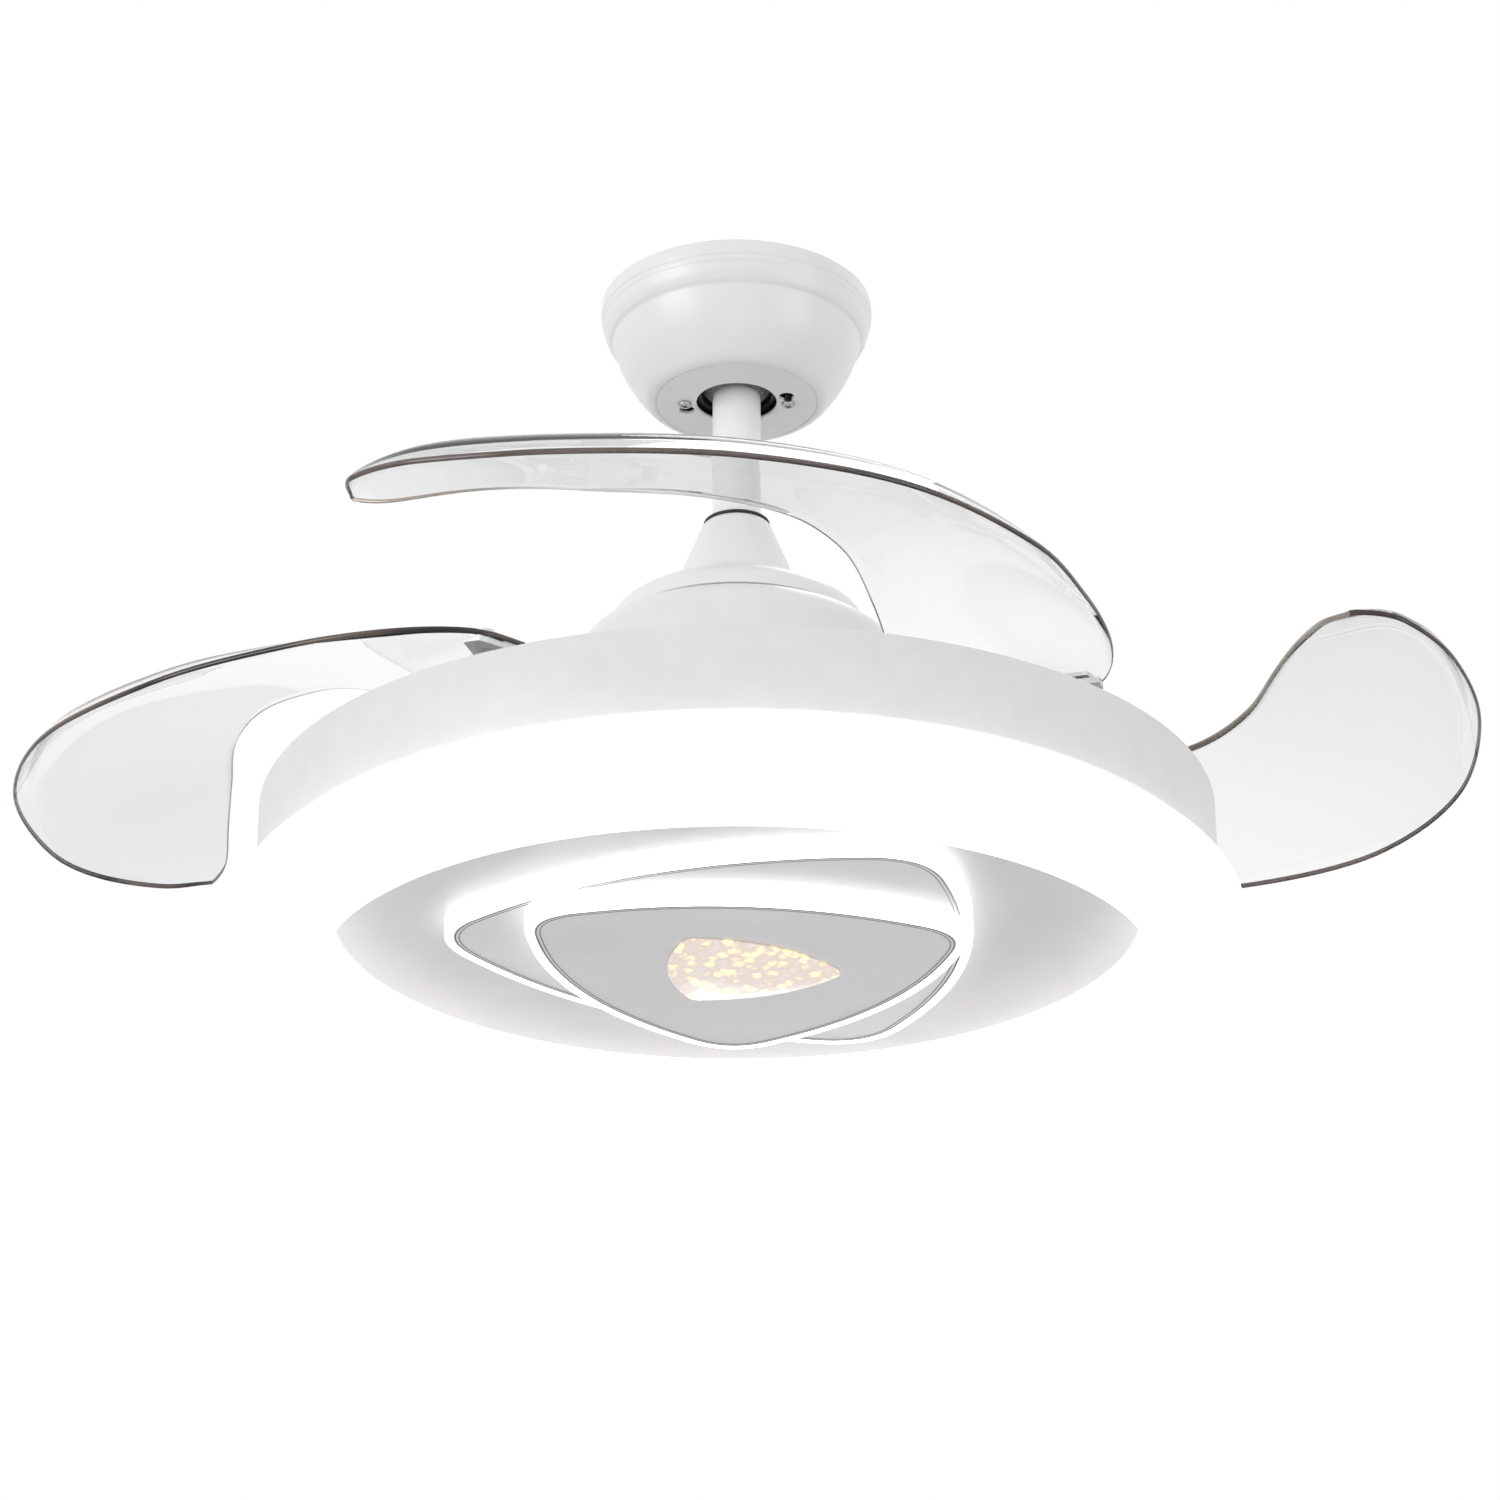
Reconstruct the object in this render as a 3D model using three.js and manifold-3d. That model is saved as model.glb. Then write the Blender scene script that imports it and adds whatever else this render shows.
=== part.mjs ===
// Ceiling fan with four clear blades that fold away above a round lamp.
// Millimetres. +Z is up and Z = 0 is the ceiling, so every height below is negative.
import * as THREE from "three";
import { mergeVertices } from "three/addons/utils/BufferGeometryUtils.js";
import Module from "manifold-3d";

const wasm = await Module();
wasm.setup();

// ---------------------------------------------------------------- driving dimensions
const clearance = 0.3; // between pieces that touch
const runningGap = 0.8; // between pieces that turn past each other

// canopy and hanger
const canopyRimRadius = 73.8;
const canopyRimHeight = 22.4;
const rimBand = 8; // plain band at the ceiling
const rimStep = 1.1;
const rimStepHeight = 5.4;
const canopyBowlRadius = 67.2;
const canopyFloorRadius = 43.7;
const canopyHeight = 59.4;
const canopyWall = 1.6;
const canopyMouthRadius = 21.8;
const canopyScrewRadius = 28; // from the axis
const screwShankRadius = 1.8;
const screwHeadRadius = 3.6;
const screwHeadHeight = 2;
const keyholeTravel = 7.5;
const bracketLength = 120;
const bracketWidth = 34;
const bracketThickness = 2.5;
const slotSpacing = 90;
const slotLength = 14;
const slotWidth = 6;
const ballRadius = 24;
const ballDrop = 36; // centre of the ball below the ceiling
const seatOuterRadius = 34;
const seatThroatRadius = 19;
const seatHeight = 9;
const seatLift = 2.5; // above the canopy's floor
const ballPinRadius = 2.5;
const ballPinLift = 6; // above the ball's centre
const receiverSize = [48, 28, 12];

// rod and coupling
const rodRadius = 13;
const rodWall = 1.6;
const rodTop = -20;
const rodBottom = -172;
const coverTop = -134.6;
const coverTopRadius = 18.1;
const coneFootRadius = 29.4;
const coneHeight = 27.7;
const domeRadius = 63.8;
const domeHeight = 19.8;
const coverWall = 1.6;
const sealHeight = 3;
const yokeTop = -150;
const yokeRadius = 18.5;
const yokeBoltDrop = 10; // below the yoke's top
const yokeBoltRadius = 3;
const yokeFlangeRadius = 40;
const yokeFlangeHeight = 6;
const yokeSole = 6; // below the rod's end

// motor
const motorCoverRadius = 76.4;
const motorCoverHeight = 44.7;
const shaftRadius = 10;
const shaftBore = 6.5;
const shaftEnd = 3; // below the nut
const bearingRadius = 17.5;
const bearingHeight = 8;
const rotorRadius = 84;
const rotorHeight = 66;
const rotorDrop = 3; // below the motor's top cover
const rotorWall = 4;
const statorRadius = 68;
const statorHeight = 30;
const slotCount = 12;

// blade pivots, gears and carrier
const bladeCount = 4;
const photoTurn = 4; // degrees, the rotor's turn at rest
const firstPivotAngle = -36 + photoTurn;
const gearModule = 3.35;
const holderTeeth = 24; // on a full circle
const syncTeeth = 76; // on a full circle
const gearThickness = 3.6;
const toothTip = 0.8; // in modules, beyond the pitch circle
const toothRoot = 1.15; // in modules, inside the pitch circle
const sectorHalfAngle = 68; // degrees, on the holder
const lobeHalfAngle = 25; // degrees, on the sync gear
const syncCollarWidth = 8;
const syncWindowWall = 5; // sheet left beside a window
const carrierThickness = 4;
const carrierRimWidth = 16; // beyond the pivots
const carrierWindowRadius = 22;
const postRadius = 5;
const hubRadius = 13;
const postHeadRadius = 8;
const postHeadHeight = 3;

// blades
const bladeThickness = 3;
const bladeLength = 370; // root to tip
const bladeRise = 30; // inner edge above the root
const bladeFall = 4; // inner edge's fall along its second half
const bladeDip = 9; // outer edge below the root
const bladeLift = 10; // outer edge's lift along its second half
const bladeTipRise = 12; // tip above the root
const bladeArch = 12; // crest above the line from edge to edge
const swingOpen = 68; // degrees from the photo's pose
const swingFold = -46;
const bladeRootHeight = 17.4; // sheet above the carrier
const clampThickness = 2.2;
const springWireRadius = 0.9;
const springHubGap = 1.5;
const springPitch = 2.5;
const springCurls = 2.5;
const springLeg = 12;

// lamp
const drumRadius = 245.4;
const drumHeight = 43.1;
const drumWall = 1.5;
const drumPlateDrop = 3.8; // top plate below the rim
const drumLip = 5;
const lampCentreGap = 10; // drum plate below the carrier
const diffuserOverhang = 11.5; // beyond the drum
const diffuserWidth = 49.5; // outside to inside
const diffuserWall = 2.4;
const diffuserDepth = 44.7;
const basePlateDrop = 11.4; // below the drum's lower edge
const plateThickness = 1.5;
const boardEdgeGap = 0.6;
const boardThickness = 1.6;
const driverSize = [140, 50, 28];
const mountPlateRadius = 60;
const mountPlateThickness = 3;
const nutRadius = 17;
const nutHeight = 8;
const upperRimHeight = 11;
const lowerRimHeight = 11;
const lampRimWidth = 6.5;
const lampFaceRecess = 2;
const lampFaceThickness = 3;
const upperLampReach = 159; // centre to corner
const lowerLampReach = 128;
const crystalReach = 51;
const lampBulge = 0.13; // sagitta over side length
const crystalThickness = 2;

// facets round a full circle
const fine = 48;
const medium = 26;
const coarse = 18;

// ---------------------------------------------------------------- heights that follow
const canopyFloorZ = -canopyHeight;
const ballZ = -ballDrop;
const ballPinZ = ballZ + ballPinLift;
const seatBottomZ = canopyFloorZ + canopyWall + clearance + seatLift;
const yokeBoltZ = yokeTop - yokeBoltDrop;
const coneFootZ = coverTop - coneHeight;
const coverBottomZ = coneFootZ - domeHeight;
const yokeFlangeTopZ = rodBottom - yokeSole;
const yokeFlangeZ = yokeFlangeTopZ - yokeFlangeHeight;
const motorCoverTopZ = yokeFlangeZ - clearance;
const motorCoverBottomZ = motorCoverTopZ - motorCoverHeight;
const rotorTopZ = motorCoverBottomZ - rotorDrop;
const rotorBottomZ = rotorTopZ - rotorHeight;
const carrierTopZ = rotorBottomZ - clearance;
const carrierBottomZ = carrierTopZ - carrierThickness;
const gearBottomZ = carrierTopZ + clearance;
const gearTopZ = gearBottomZ + gearThickness;
const bladeRootZ = carrierTopZ + bladeRootHeight;
const drumPlateTopZ = carrierBottomZ - lampCentreGap;
const drumTopZ = drumPlateTopZ + drumPlateDrop;
const drumBottomZ = drumTopZ - drumHeight;
const mountPlateTopZ = drumPlateTopZ + clearance + mountPlateThickness;
const basePlateZ = drumBottomZ - basePlateDrop;
const diffuserRadius = drumRadius + diffuserOverhang;
const diffuserInnerRadius = diffuserRadius - diffuserWidth;
const shaftTopZ = rodBottom - clearance;
const shaftBottomZ = drumPlateTopZ - drumWall - nutHeight - shaftEnd;
const pivotRadius = (gearModule * (holderTeeth + syncTeeth)) / 2;
const upperRimTopZ = basePlateZ - clearance;
const upperRimBottomZ = upperRimTopZ - upperRimHeight;
const lowerRimTopZ = upperRimBottomZ - clearance;
const lowerRimBottomZ = lowerRimTopZ - lowerRimHeight;

// ---------------------------------------------------------------- materials
const paint = (color, roughness, metalness = 0) =>
  new THREE.MeshStandardMaterial({ color, roughness, metalness });
const whitePaint = paint(0xf2f2f2, 0.4);
const greyPlastic = paint(0x8f9094, 0.6);
const blackRubber = paint(0x141414, 0.7);
const steel = paint(0xb9bcc0, 0.35, 0.9);
const zinc = paint(0xc9ccd0, 0.4, 0.8);
const copper = paint(0xb87744, 0.45, 0.7);
const boardWhite = paint(0xf4f4ee, 0.6);
const glowWhite = paint(0xffffff, 0.3);
const lampGrey = paint(0xcbcace, 0.45);
const crystalAmber = paint(0xe9d3a8, 0.3);
const bladeClear = new THREE.MeshStandardMaterial({
  color: 0xeeeeee,
  roughness: 0.05,
  transparent: true,
  opacity: 0.35,
});

// ---------------------------------------------------------------- helpers
const fan = new THREE.Group();
const radians = THREE.MathUtils.degToRad;
const P = (x, y) => new THREE.Vector2(x, y);

function add(name, geometry, material, parent = fan) {
  const mesh = new THREE.Mesh(geometry, material);
  mesh.name = name;
  parent.add(mesh);
  return mesh;
}

// A closed profile of [radius, height] pairs, listed counterclockwise, turned round Z.
function revolve(profile, segments) {
  const points = profile.map(([radius, height]) => P(radius, height));
  const onAxis = profile[0][0] === 0 && profile.at(-1)[0] === 0;
  if (!onAxis) points.push(points[0].clone());
  return new THREE.LatheGeometry(points, segments).rotateX(Math.PI / 2);
}

// A plain tube or disc from low to high.
function tube(innerRadius, outerRadius, low, high, segments) {
  if (innerRadius === 0)
    return revolve([[0, low], [outerRadius, low], [outerRadius, high], [0, high]], segments);
  return revolve(
    [[innerRadius, low], [outerRadius, low], [outerRadius, high], [innerRadius, high]],
    segments,
  );
}

function plate(shape, low, high, curveSegments = 6) {
  return new THREE.ExtrudeGeometry(shape, { depth: high - low, bevelEnabled: false, curveSegments })
    .translate(0, 0, low);
}

function box(width, depth, low, high, x = 0, y = 0) {
  return new THREE.BoxGeometry(width, depth, high - low).translate(x, y, (low + high) / 2);
}

function solid(geometry) {
  const bare = new THREE.BufferGeometry();
  bare.setAttribute("position", geometry.getAttribute("position"));
  if (geometry.index) bare.setIndex(geometry.index);
  const merged = mergeVertices(bare, 1e-4);
  return new wasm.Manifold(
    new wasm.Mesh({
      numProp: 3,
      vertProperties: merged.getAttribute("position").array,
      triVerts: new Uint32Array(merged.index.array),
    }),
  );
}

function geometryOf(manifold) {
  const mesh = manifold.getMesh();
  const geometry = new THREE.BufferGeometry();
  geometry.setAttribute("position", new THREE.BufferAttribute(mesh.vertProperties, 3));
  geometry.setIndex(new THREE.BufferAttribute(mesh.triVerts, 1));
  return geometry;
}

const join = (...parts) => geometryOf(parts.map(solid).reduce((a, b) => a.add(b)));
const cut = (body, ...tools) => geometryOf(tools.map(solid).reduce((a, b) => a.subtract(b), solid(body)));
const slottedShape = (radius, halfLength, x, y) => {
  const slot = new THREE.Shape();
  slot.absarc(x + halfLength, y, radius, -Math.PI / 2, Math.PI / 2);
  slot.absarc(x - halfLength, y, radius, Math.PI / 2, (3 * Math.PI) / 2);
  slot.closePath();
  return slot;
};
const pinAlongX = (radius, length, z, segments = 12) =>
  new THREE.CylinderGeometry(radius, radius, length, segments).rotateZ(Math.PI / 2).translate(0, 0, z);
const smooth = THREE.MathUtils.smoothstep;

// A sheet between two edge curves, thick along Z, with rows from root to tip and columns at the given shares.
function sheet(outerEdge, innerEdge, heightAt, thickness, rows, shares) {
  const columns = shares.length - 1;
  const positions = [];
  const index = [];
  const at = (side, row, column) => side * (rows + 1) * (columns + 1) + row * (columns + 1) + column;
  for (const side of [-1, 1])
    for (let row = 0; row <= rows; row++) {
      // rows lie closer together at the tip
      const along = Math.sin((row / rows) * (Math.PI / 2)) ** 1.15;
      const from = outerEdge.getPoint(along);
      const to = innerEdge.getPoint(along);
      for (let column = 0; column <= columns; column++) {
        const across = shares[column];
        const point = from.clone().lerp(to, across);
        positions.push(point.x, point.y, heightAt(along, across) + (side * thickness) / 2);
      }
    }
  const quad = (a, b, c, d) => index.push(a, b, c, a, c, d);
  for (let row = 0; row < rows; row++) {
    for (let column = 0; column < columns; column++) {
      quad(at(0, row, column), at(0, row + 1, column), at(0, row + 1, column + 1), at(0, row, column + 1));
      quad(at(1, row, column), at(1, row, column + 1), at(1, row + 1, column + 1), at(1, row + 1, column));
    }
    quad(at(0, row, 0), at(1, row, 0), at(1, row + 1, 0), at(0, row + 1, 0));
    quad(at(0, row, columns), at(0, row + 1, columns), at(1, row + 1, columns), at(1, row, columns));
  }
  for (let column = 0; column < columns; column++) {
    quad(at(0, 0, column), at(0, 0, column + 1), at(1, 0, column + 1), at(1, 0, column));
    quad(at(0, rows, column), at(1, rows, column), at(1, rows, column + 1), at(0, rows, column + 1));
  }
  const geometry = new THREE.BufferGeometry();
  geometry.setAttribute("position", new THREE.Float32BufferAttribute(positions, 3));
  geometry.setIndex(index);
  return geometry;
}

// A closed round wire through the points, with flat ends.
function wire(points, radius, sides) {
  const positions = [];
  const index = [];
  const up = new THREE.Vector3(0, 0, 1);
  points.forEach((point, i) => {
    const before = points[Math.max(i - 1, 0)];
    const after = points[Math.min(i + 1, points.length - 1)];
    const forward = after.clone().sub(before).normalize();
    const side = forward.clone().cross(up).normalize();
    const over = side.clone().cross(forward);
    for (let k = 0; k < sides; k++) {
      const angle = (k / sides) * 2 * Math.PI;
      const offset = side.clone().multiplyScalar(radius * Math.cos(angle))
        .addScaledVector(over, radius * Math.sin(angle));
      positions.push(...point.clone().add(offset).toArray());
    }
  });
  for (let i = 0; i < points.length - 1; i++)
    for (let k = 0; k < sides; k++) {
      const a = i * sides + k;
      const b = i * sides + ((k + 1) % sides);
      index.push(a, a + sides, b, b, a + sides, b + sides);
    }
  const end = (points.length - 1) * sides;
  for (let k = 1; k < sides - 1; k++) index.push(0, k, k + 1, end, end + k + 1, end + k);
  const geometry = new THREE.BufferGeometry();
  geometry.setAttribute("position", new THREE.Float32BufferAttribute(positions, 3));
  geometry.setIndex(index);
  return geometry;
}

// ---------------------------------------------------------------- ceiling bracket, canopy, receiver
const seatOuterWallX = seatOuterRadius - bracketThickness;

function ceilingBracket() {
  const legLow = seatBottomZ + seatHeight / 2;
  const body = join(
    box(bracketLength, bracketWidth, -bracketThickness, 0),
    box(bracketThickness, bracketWidth, legLow, -bracketThickness / 2, seatOuterWallX),
    box(bracketThickness, bracketWidth, legLow, -bracketThickness / 2, -seatOuterWallX),
    tube(seatThroatRadius, seatOuterRadius, seatBottomZ, seatBottomZ + seatHeight, medium),
  );
  const slots = [-1, 1].map((side) =>
    plate(
      slottedShape(slotWidth / 2, (slotLength - slotWidth) / 2, (side * slotSpacing) / 2, 0),
      -2 * bracketThickness,
      bracketThickness,
    ),
  );
  const ballSeat = new THREE.SphereGeometry(ballRadius + 2 * clearance, 24, 12)
    .rotateX(Math.PI / 2)
    .translate(0, 0, ballZ);
  const screwHoles = [-1, 1].map((side) =>
    tube(0, screwShankRadius + clearance, seatBottomZ - 1, seatBottomZ + seatHeight + 1, 12)
      .translate(side * canopyScrewRadius, 0, 0),
  );
  return cut(body, ...slots, ballSeat, ...screwHoles);
}

function canopy() {
  const edge = canopyWall / 2;
  const outer = [
    [canopyRimRadius - edge, 0],
    [canopyRimRadius, -2 * edge],
    [canopyRimRadius, -rimBand],
    // two fine steps round the rim
    [canopyRimRadius - rimStep, -rimBand - edge],
    [canopyRimRadius - rimStep, edge - rimBand - rimStepHeight],
    [canopyRimRadius - 2 * rimStep, -rimBand - rimStepHeight],
    // the rim's lower edge stands proud of the bowl
    [canopyBowlRadius + canopyWall, -canopyRimHeight],
    [canopyBowlRadius, -canopyRimHeight - edge],
    [canopyBowlRadius * 0.935, -0.606 * canopyHeight],
    [canopyBowlRadius * 0.833, -0.808 * canopyHeight],
    [canopyBowlRadius * 0.738, -0.953 * canopyHeight],
    [canopyFloorRadius, canopyFloorZ],
    [canopyMouthRadius, canopyFloorZ],
  ];
  const floorTopZ = canopyFloorZ + canopyWall;
  const inner = [outer[0], outer[5], outer[7], outer[9], outer[10]]
    .map(([radius, z]) => [radius - canopyWall, Math.max(z, floorTopZ)]);
  const profile = [...outer.reverse(), ...inner, [canopyMouthRadius, floorTopZ]];
  return cut(revolve(profile, medium), ...[-1, 1].flatMap(keyhole));
}

// A round entry for the screw's head, and a slot that leads back to its shank.
function keyhole(side) {
  const slotHalf = screwShankRadius + clearance;
  const hole = (radius, turn) =>
    tube(0, radius, canopyFloorZ - 1, canopyFloorZ + canopyWall + 1, 12)
      .translate(canopyScrewRadius, 0, 0)
      .rotateZ(turn);
  const screwTurn = side > 0 ? 0 : Math.PI;
  const entryTurn = screwTurn - keyholeTravel / canopyScrewRadius;
  const slot = new THREE.BoxGeometry(2 * slotHalf, keyholeTravel, canopyWall + 2)
    .translate(canopyScrewRadius, 0, canopyFloorZ + canopyWall / 2)
    .rotateZ((screwTurn + entryTurn) / 2);
  return [hole(slotHalf, screwTurn), hole(screwHeadRadius + 2 * clearance, entryTurn), slot];
}

function canopyScrew() {
  const headTopZ = canopyFloorZ - clearance;
  const headBottomZ = headTopZ - screwHeadHeight;
  return revolve(
    [
      [0, headBottomZ],
      [screwHeadRadius * 0.6, headBottomZ],
      [screwHeadRadius, headTopZ - screwHeadHeight / 2],
      [screwHeadRadius, headTopZ],
      [screwShankRadius, headTopZ],
      [screwShankRadius, seatBottomZ + seatHeight - 1],
      [0, seatBottomZ + seatHeight - 1],
    ],
    12,
  );
}

add("ceiling_bracket", ceilingBracket(), zinc);
add("canopy", canopy(), whitePaint);
for (const [number, side] of [[1, -1], [2, 1]])
  add(`canopy_screw_${number}`, canopyScrew(), zinc).position.x = side * canopyScrewRadius;
const receiverTopZ = -bracketThickness - clearance;
add(
  "remote_receiver",
  box(receiverSize[0], receiverSize[1], receiverTopZ - receiverSize[2], receiverTopZ),
  whitePaint,
);

// ---------------------------------------------------------------- ball, rod, coupling
const hung = new THREE.Group();
fan.add(hung);
const ballTopZ = rodTop - 2;

function hangerBall() {
  const rings = 6;
  const bottomAngle = Math.asin((rodRadius + clearance) / ballRadius);
  const topAngle = Math.PI - Math.acos((ballTopZ - ballZ) / ballRadius);
  const profile = [];
  for (let i = 0; i <= rings; i++) {
    const angle = bottomAngle + ((topAngle - bottomAngle) * i) / rings;
    profile.push([ballRadius * Math.sin(angle), ballZ - ballRadius * Math.cos(angle)]);
  }
  profile.push([rodRadius + clearance, ballTopZ]);
  return cut(revolve(profile, 24), pinAlongX(ballPinRadius + clearance, 3 * ballRadius, ballPinZ));
}

const ballPinLength = 2 * Math.sqrt(ballRadius ** 2 - (ballPinZ - ballZ) ** 2) - 2;
add("hanger_ball", hangerBall(), greyPlastic, hung);
add("ball_pin", pinAlongX(ballPinRadius, ballPinLength, ballPinZ), steel, hung);
add(
  "down_rod",
  cut(
    tube(rodRadius - rodWall, rodRadius, rodBottom, rodTop, medium),
    pinAlongX(ballPinRadius + clearance, 4 * rodRadius, ballPinZ),
    pinAlongX(yokeBoltRadius + clearance, 4 * rodRadius, yokeBoltZ),
  ),
  whitePaint,
  hung,
);

function motorYoke() {
  const boreFloor = rodBottom - clearance;
  const body = revolve(
    [
      [shaftRadius + clearance, yokeFlangeZ],
      [yokeFlangeRadius, yokeFlangeZ],
      [yokeFlangeRadius, yokeFlangeTopZ],
      [yokeRadius, yokeFlangeTopZ],
      [yokeRadius, yokeTop],
      [rodRadius + clearance, yokeTop],
      [rodRadius + clearance, boreFloor],
      [shaftRadius + clearance, boreFloor],
    ],
    medium,
  );
  return cut(body, pinAlongX(yokeBoltRadius + clearance, 4 * yokeRadius, yokeBoltZ));
}
add("motor_yoke", motorYoke(), zinc, hung);
add("yoke_bolt", pinAlongX(yokeBoltRadius, 2 * yokeRadius + 4, yokeBoltZ), steel, hung);

function couplingCover() {
  const steps = 4;
  const outer = [[coverTopRadius, coverTop], [coneFootRadius, coneFootZ]];
  for (let i = 1; i <= steps; i++) {
    const angle = (i / steps) * (Math.PI / 2);
    outer.push([
      coneFootRadius + (domeRadius - coneFootRadius) * Math.sin(angle),
      coverBottomZ + domeHeight * (0.06 + 0.94 * Math.cos(angle)),
    ]);
  }
  outer.push([domeRadius, coverBottomZ]);
  const inner = [
    [rodRadius + clearance, coverTop],
    [rodRadius + clearance, coverTop - coverWall],
    [coverTopRadius - coverWall + 0.6, coverTop - coverWall],
    [coneFootRadius - coverWall, coneFootZ - 1.2 * coverWall],
    [domeRadius * 0.8, coneFootZ - 0.55 * domeHeight],
    [domeRadius - coverWall, coverBottomZ],
  ];
  return revolve([...inner, ...outer.reverse()], medium);
}
add("coupling_cover", couplingCover(), whitePaint, hung);
const sealBottomZ = coverTop + clearance;
add(
  "cover_seal_ring",
  tube(rodRadius + clearance, coverTopRadius - 0.6, sealBottomZ, sealBottomZ + sealHeight, medium),
  blackRubber,
  hung,
);

// ---------------------------------------------------------------- motor
function motorTopCover() {
  const wall = coverWall;
  return revolve(
    [
      [shaftRadius + clearance, motorCoverTopZ - wall],
      [motorCoverRadius - 8, motorCoverTopZ - wall],
      [motorCoverRadius - 3.5, motorCoverTopZ - 5.4],
      [motorCoverRadius - wall, motorCoverTopZ - 10],
      [motorCoverRadius - wall, motorCoverBottomZ],
      [motorCoverRadius, motorCoverBottomZ],
      [motorCoverRadius, motorCoverTopZ - 9.6],
      [motorCoverRadius - 2.6, motorCoverTopZ - 4],
      [motorCoverRadius - 7.4, motorCoverTopZ],
      [shaftRadius + clearance, motorCoverTopZ],
    ],
    medium,
  );
}
add("motor_top_cover", motorTopCover(), whitePaint, hung);

const shoulderTopZ = motorCoverTopZ - coverWall - clearance;
const upperBearingTopZ = rotorTopZ + 2;
const upperBearingZ = upperBearingTopZ - bearingHeight;
const lowerBearingZ = carrierBottomZ;
const lowerBearingTopZ = lowerBearingZ + bearingHeight;
function motorShaft() {
  return revolve(
    [
      [shaftBore, shaftBottomZ],
      [shaftRadius, shaftBottomZ],
      [shaftRadius, mountPlateTopZ + clearance],
      [shaftRadius + 3, mountPlateTopZ + clearance],
      [shaftRadius + 3, lowerBearingZ - clearance],
      [shaftRadius, lowerBearingZ - clearance],
      [shaftRadius, upperBearingTopZ + clearance],
      [shaftRadius + 3, upperBearingTopZ + clearance],
      [shaftRadius + 3, shoulderTopZ],
      [shaftRadius, shoulderTopZ],
      [shaftRadius, shaftTopZ],
      [shaftBore, shaftTopZ],
    ],
    12,
  );
}
add("motor_shaft", motorShaft(), steel, hung);

const bearingBore = shaftRadius + clearance;
add("upper_bearing", tube(bearingBore, bearingRadius, upperBearingZ, upperBearingTopZ, coarse), steel, hung);
add("lower_bearing", tube(bearingBore, bearingRadius, lowerBearingZ, lowerBearingTopZ, coarse), steel, hung);

const statorZ = (rotorTopZ + rotorBottomZ) / 2;
function stator() {
  const shape = new THREE.Shape();
  const slotDepth = 24;
  const slotShare = 0.32;
  for (let i = 0; i < slotCount; i++) {
    const pitch = (2 * Math.PI) / slotCount;
    const start = i * pitch;
    const corners = [
      [statorRadius, start],
      [statorRadius, start + pitch * (1 - slotShare) * 0.5],
      [statorRadius, start + pitch * (1 - slotShare)],
      [statorRadius - slotDepth, start + pitch * (1 - slotShare)],
      [statorRadius - slotDepth, start + pitch],
    ];
    for (const [radius, angle] of corners) {
      const x = radius * Math.cos(angle);
      const y = radius * Math.sin(angle);
      if (i === 0 && angle === start) shape.moveTo(x, y);
      else shape.lineTo(x, y);
    }
  }
  shape.closePath();
  const bore = new THREE.Path();
  bore.absarc(0, 0, shaftRadius + clearance, 0, 2 * Math.PI, true);
  shape.holes.push(bore);
  return plate(shape, statorZ - statorHeight / 2, statorZ + statorHeight / 2, coarse / 2);
}
add("stator", stator(), copper, hung);

// ---------------------------------------------------------------- rotor
const rotor = new THREE.Group();
rotor.rotation.z = radians(firstPivotAngle);
fan.add(rotor);
const bearingSeat = bearingRadius + clearance;
const seatWall = 3;

function rotorShell() {
  const corner = 6;
  return revolve(
    [
      [bearingSeat, upperBearingZ],
      [bearingSeat + seatWall, upperBearingZ],
      [bearingSeat + seatWall, rotorTopZ - rotorWall],
      [rotorRadius - rotorWall - corner / 2, rotorTopZ - rotorWall],
      [rotorRadius - rotorWall, rotorTopZ - rotorWall - corner / 2],
      [rotorRadius - rotorWall, rotorBottomZ],
      [rotorRadius, rotorBottomZ],
      [rotorRadius, rotorTopZ - corner],
      [rotorRadius - corner * 0.3, rotorTopZ - corner * 0.3],
      [rotorRadius - corner, rotorTopZ],
      [bearingSeat, rotorTopZ],
    ],
    medium,
  );
}
add("rotor_shell", rotorShell(), zinc, rotor);

const pivots = [];
for (let i = 0; i < bladeCount; i++) {
  const pivot = new THREE.Group();
  pivot.rotation.z = (i * 2 * Math.PI) / bladeCount;
  rotor.add(pivot);
  pivots.push(pivot);
}

// Round plate with a boss for the lower bearing, post holes, and a window between pivots.
function bladeCarrier() {
  const body = revolve(
    [
      [bearingSeat, carrierBottomZ],
      [pivotRadius + carrierRimWidth, carrierBottomZ],
      [pivotRadius + carrierRimWidth, carrierTopZ],
      [bearingSeat + seatWall, carrierTopZ],
      [bearingSeat + seatWall, lowerBearingTopZ],
      [bearingSeat, lowerBearingTopZ],
    ],
    fine,
  );
  const tools = [];
  for (let i = 0; i < bladeCount; i++) {
    const angle = (i * 2 * Math.PI) / bladeCount;
    const hole = (radius, at, turn, segments) =>
      tube(0, radius, carrierBottomZ - 1, carrierTopZ + 1, segments)
        .translate(at * Math.cos(turn), at * Math.sin(turn), 0);
    tools.push(hole(postRadius + clearance, pivotRadius, angle, 12));
    tools.push(hole(carrierWindowRadius, pivotRadius - 12, angle + Math.PI / bladeCount, coarse));
  }
  return cut(body, ...tools);
}
add("blade_carrier", bladeCarrier(), zinc, rotor);

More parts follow.
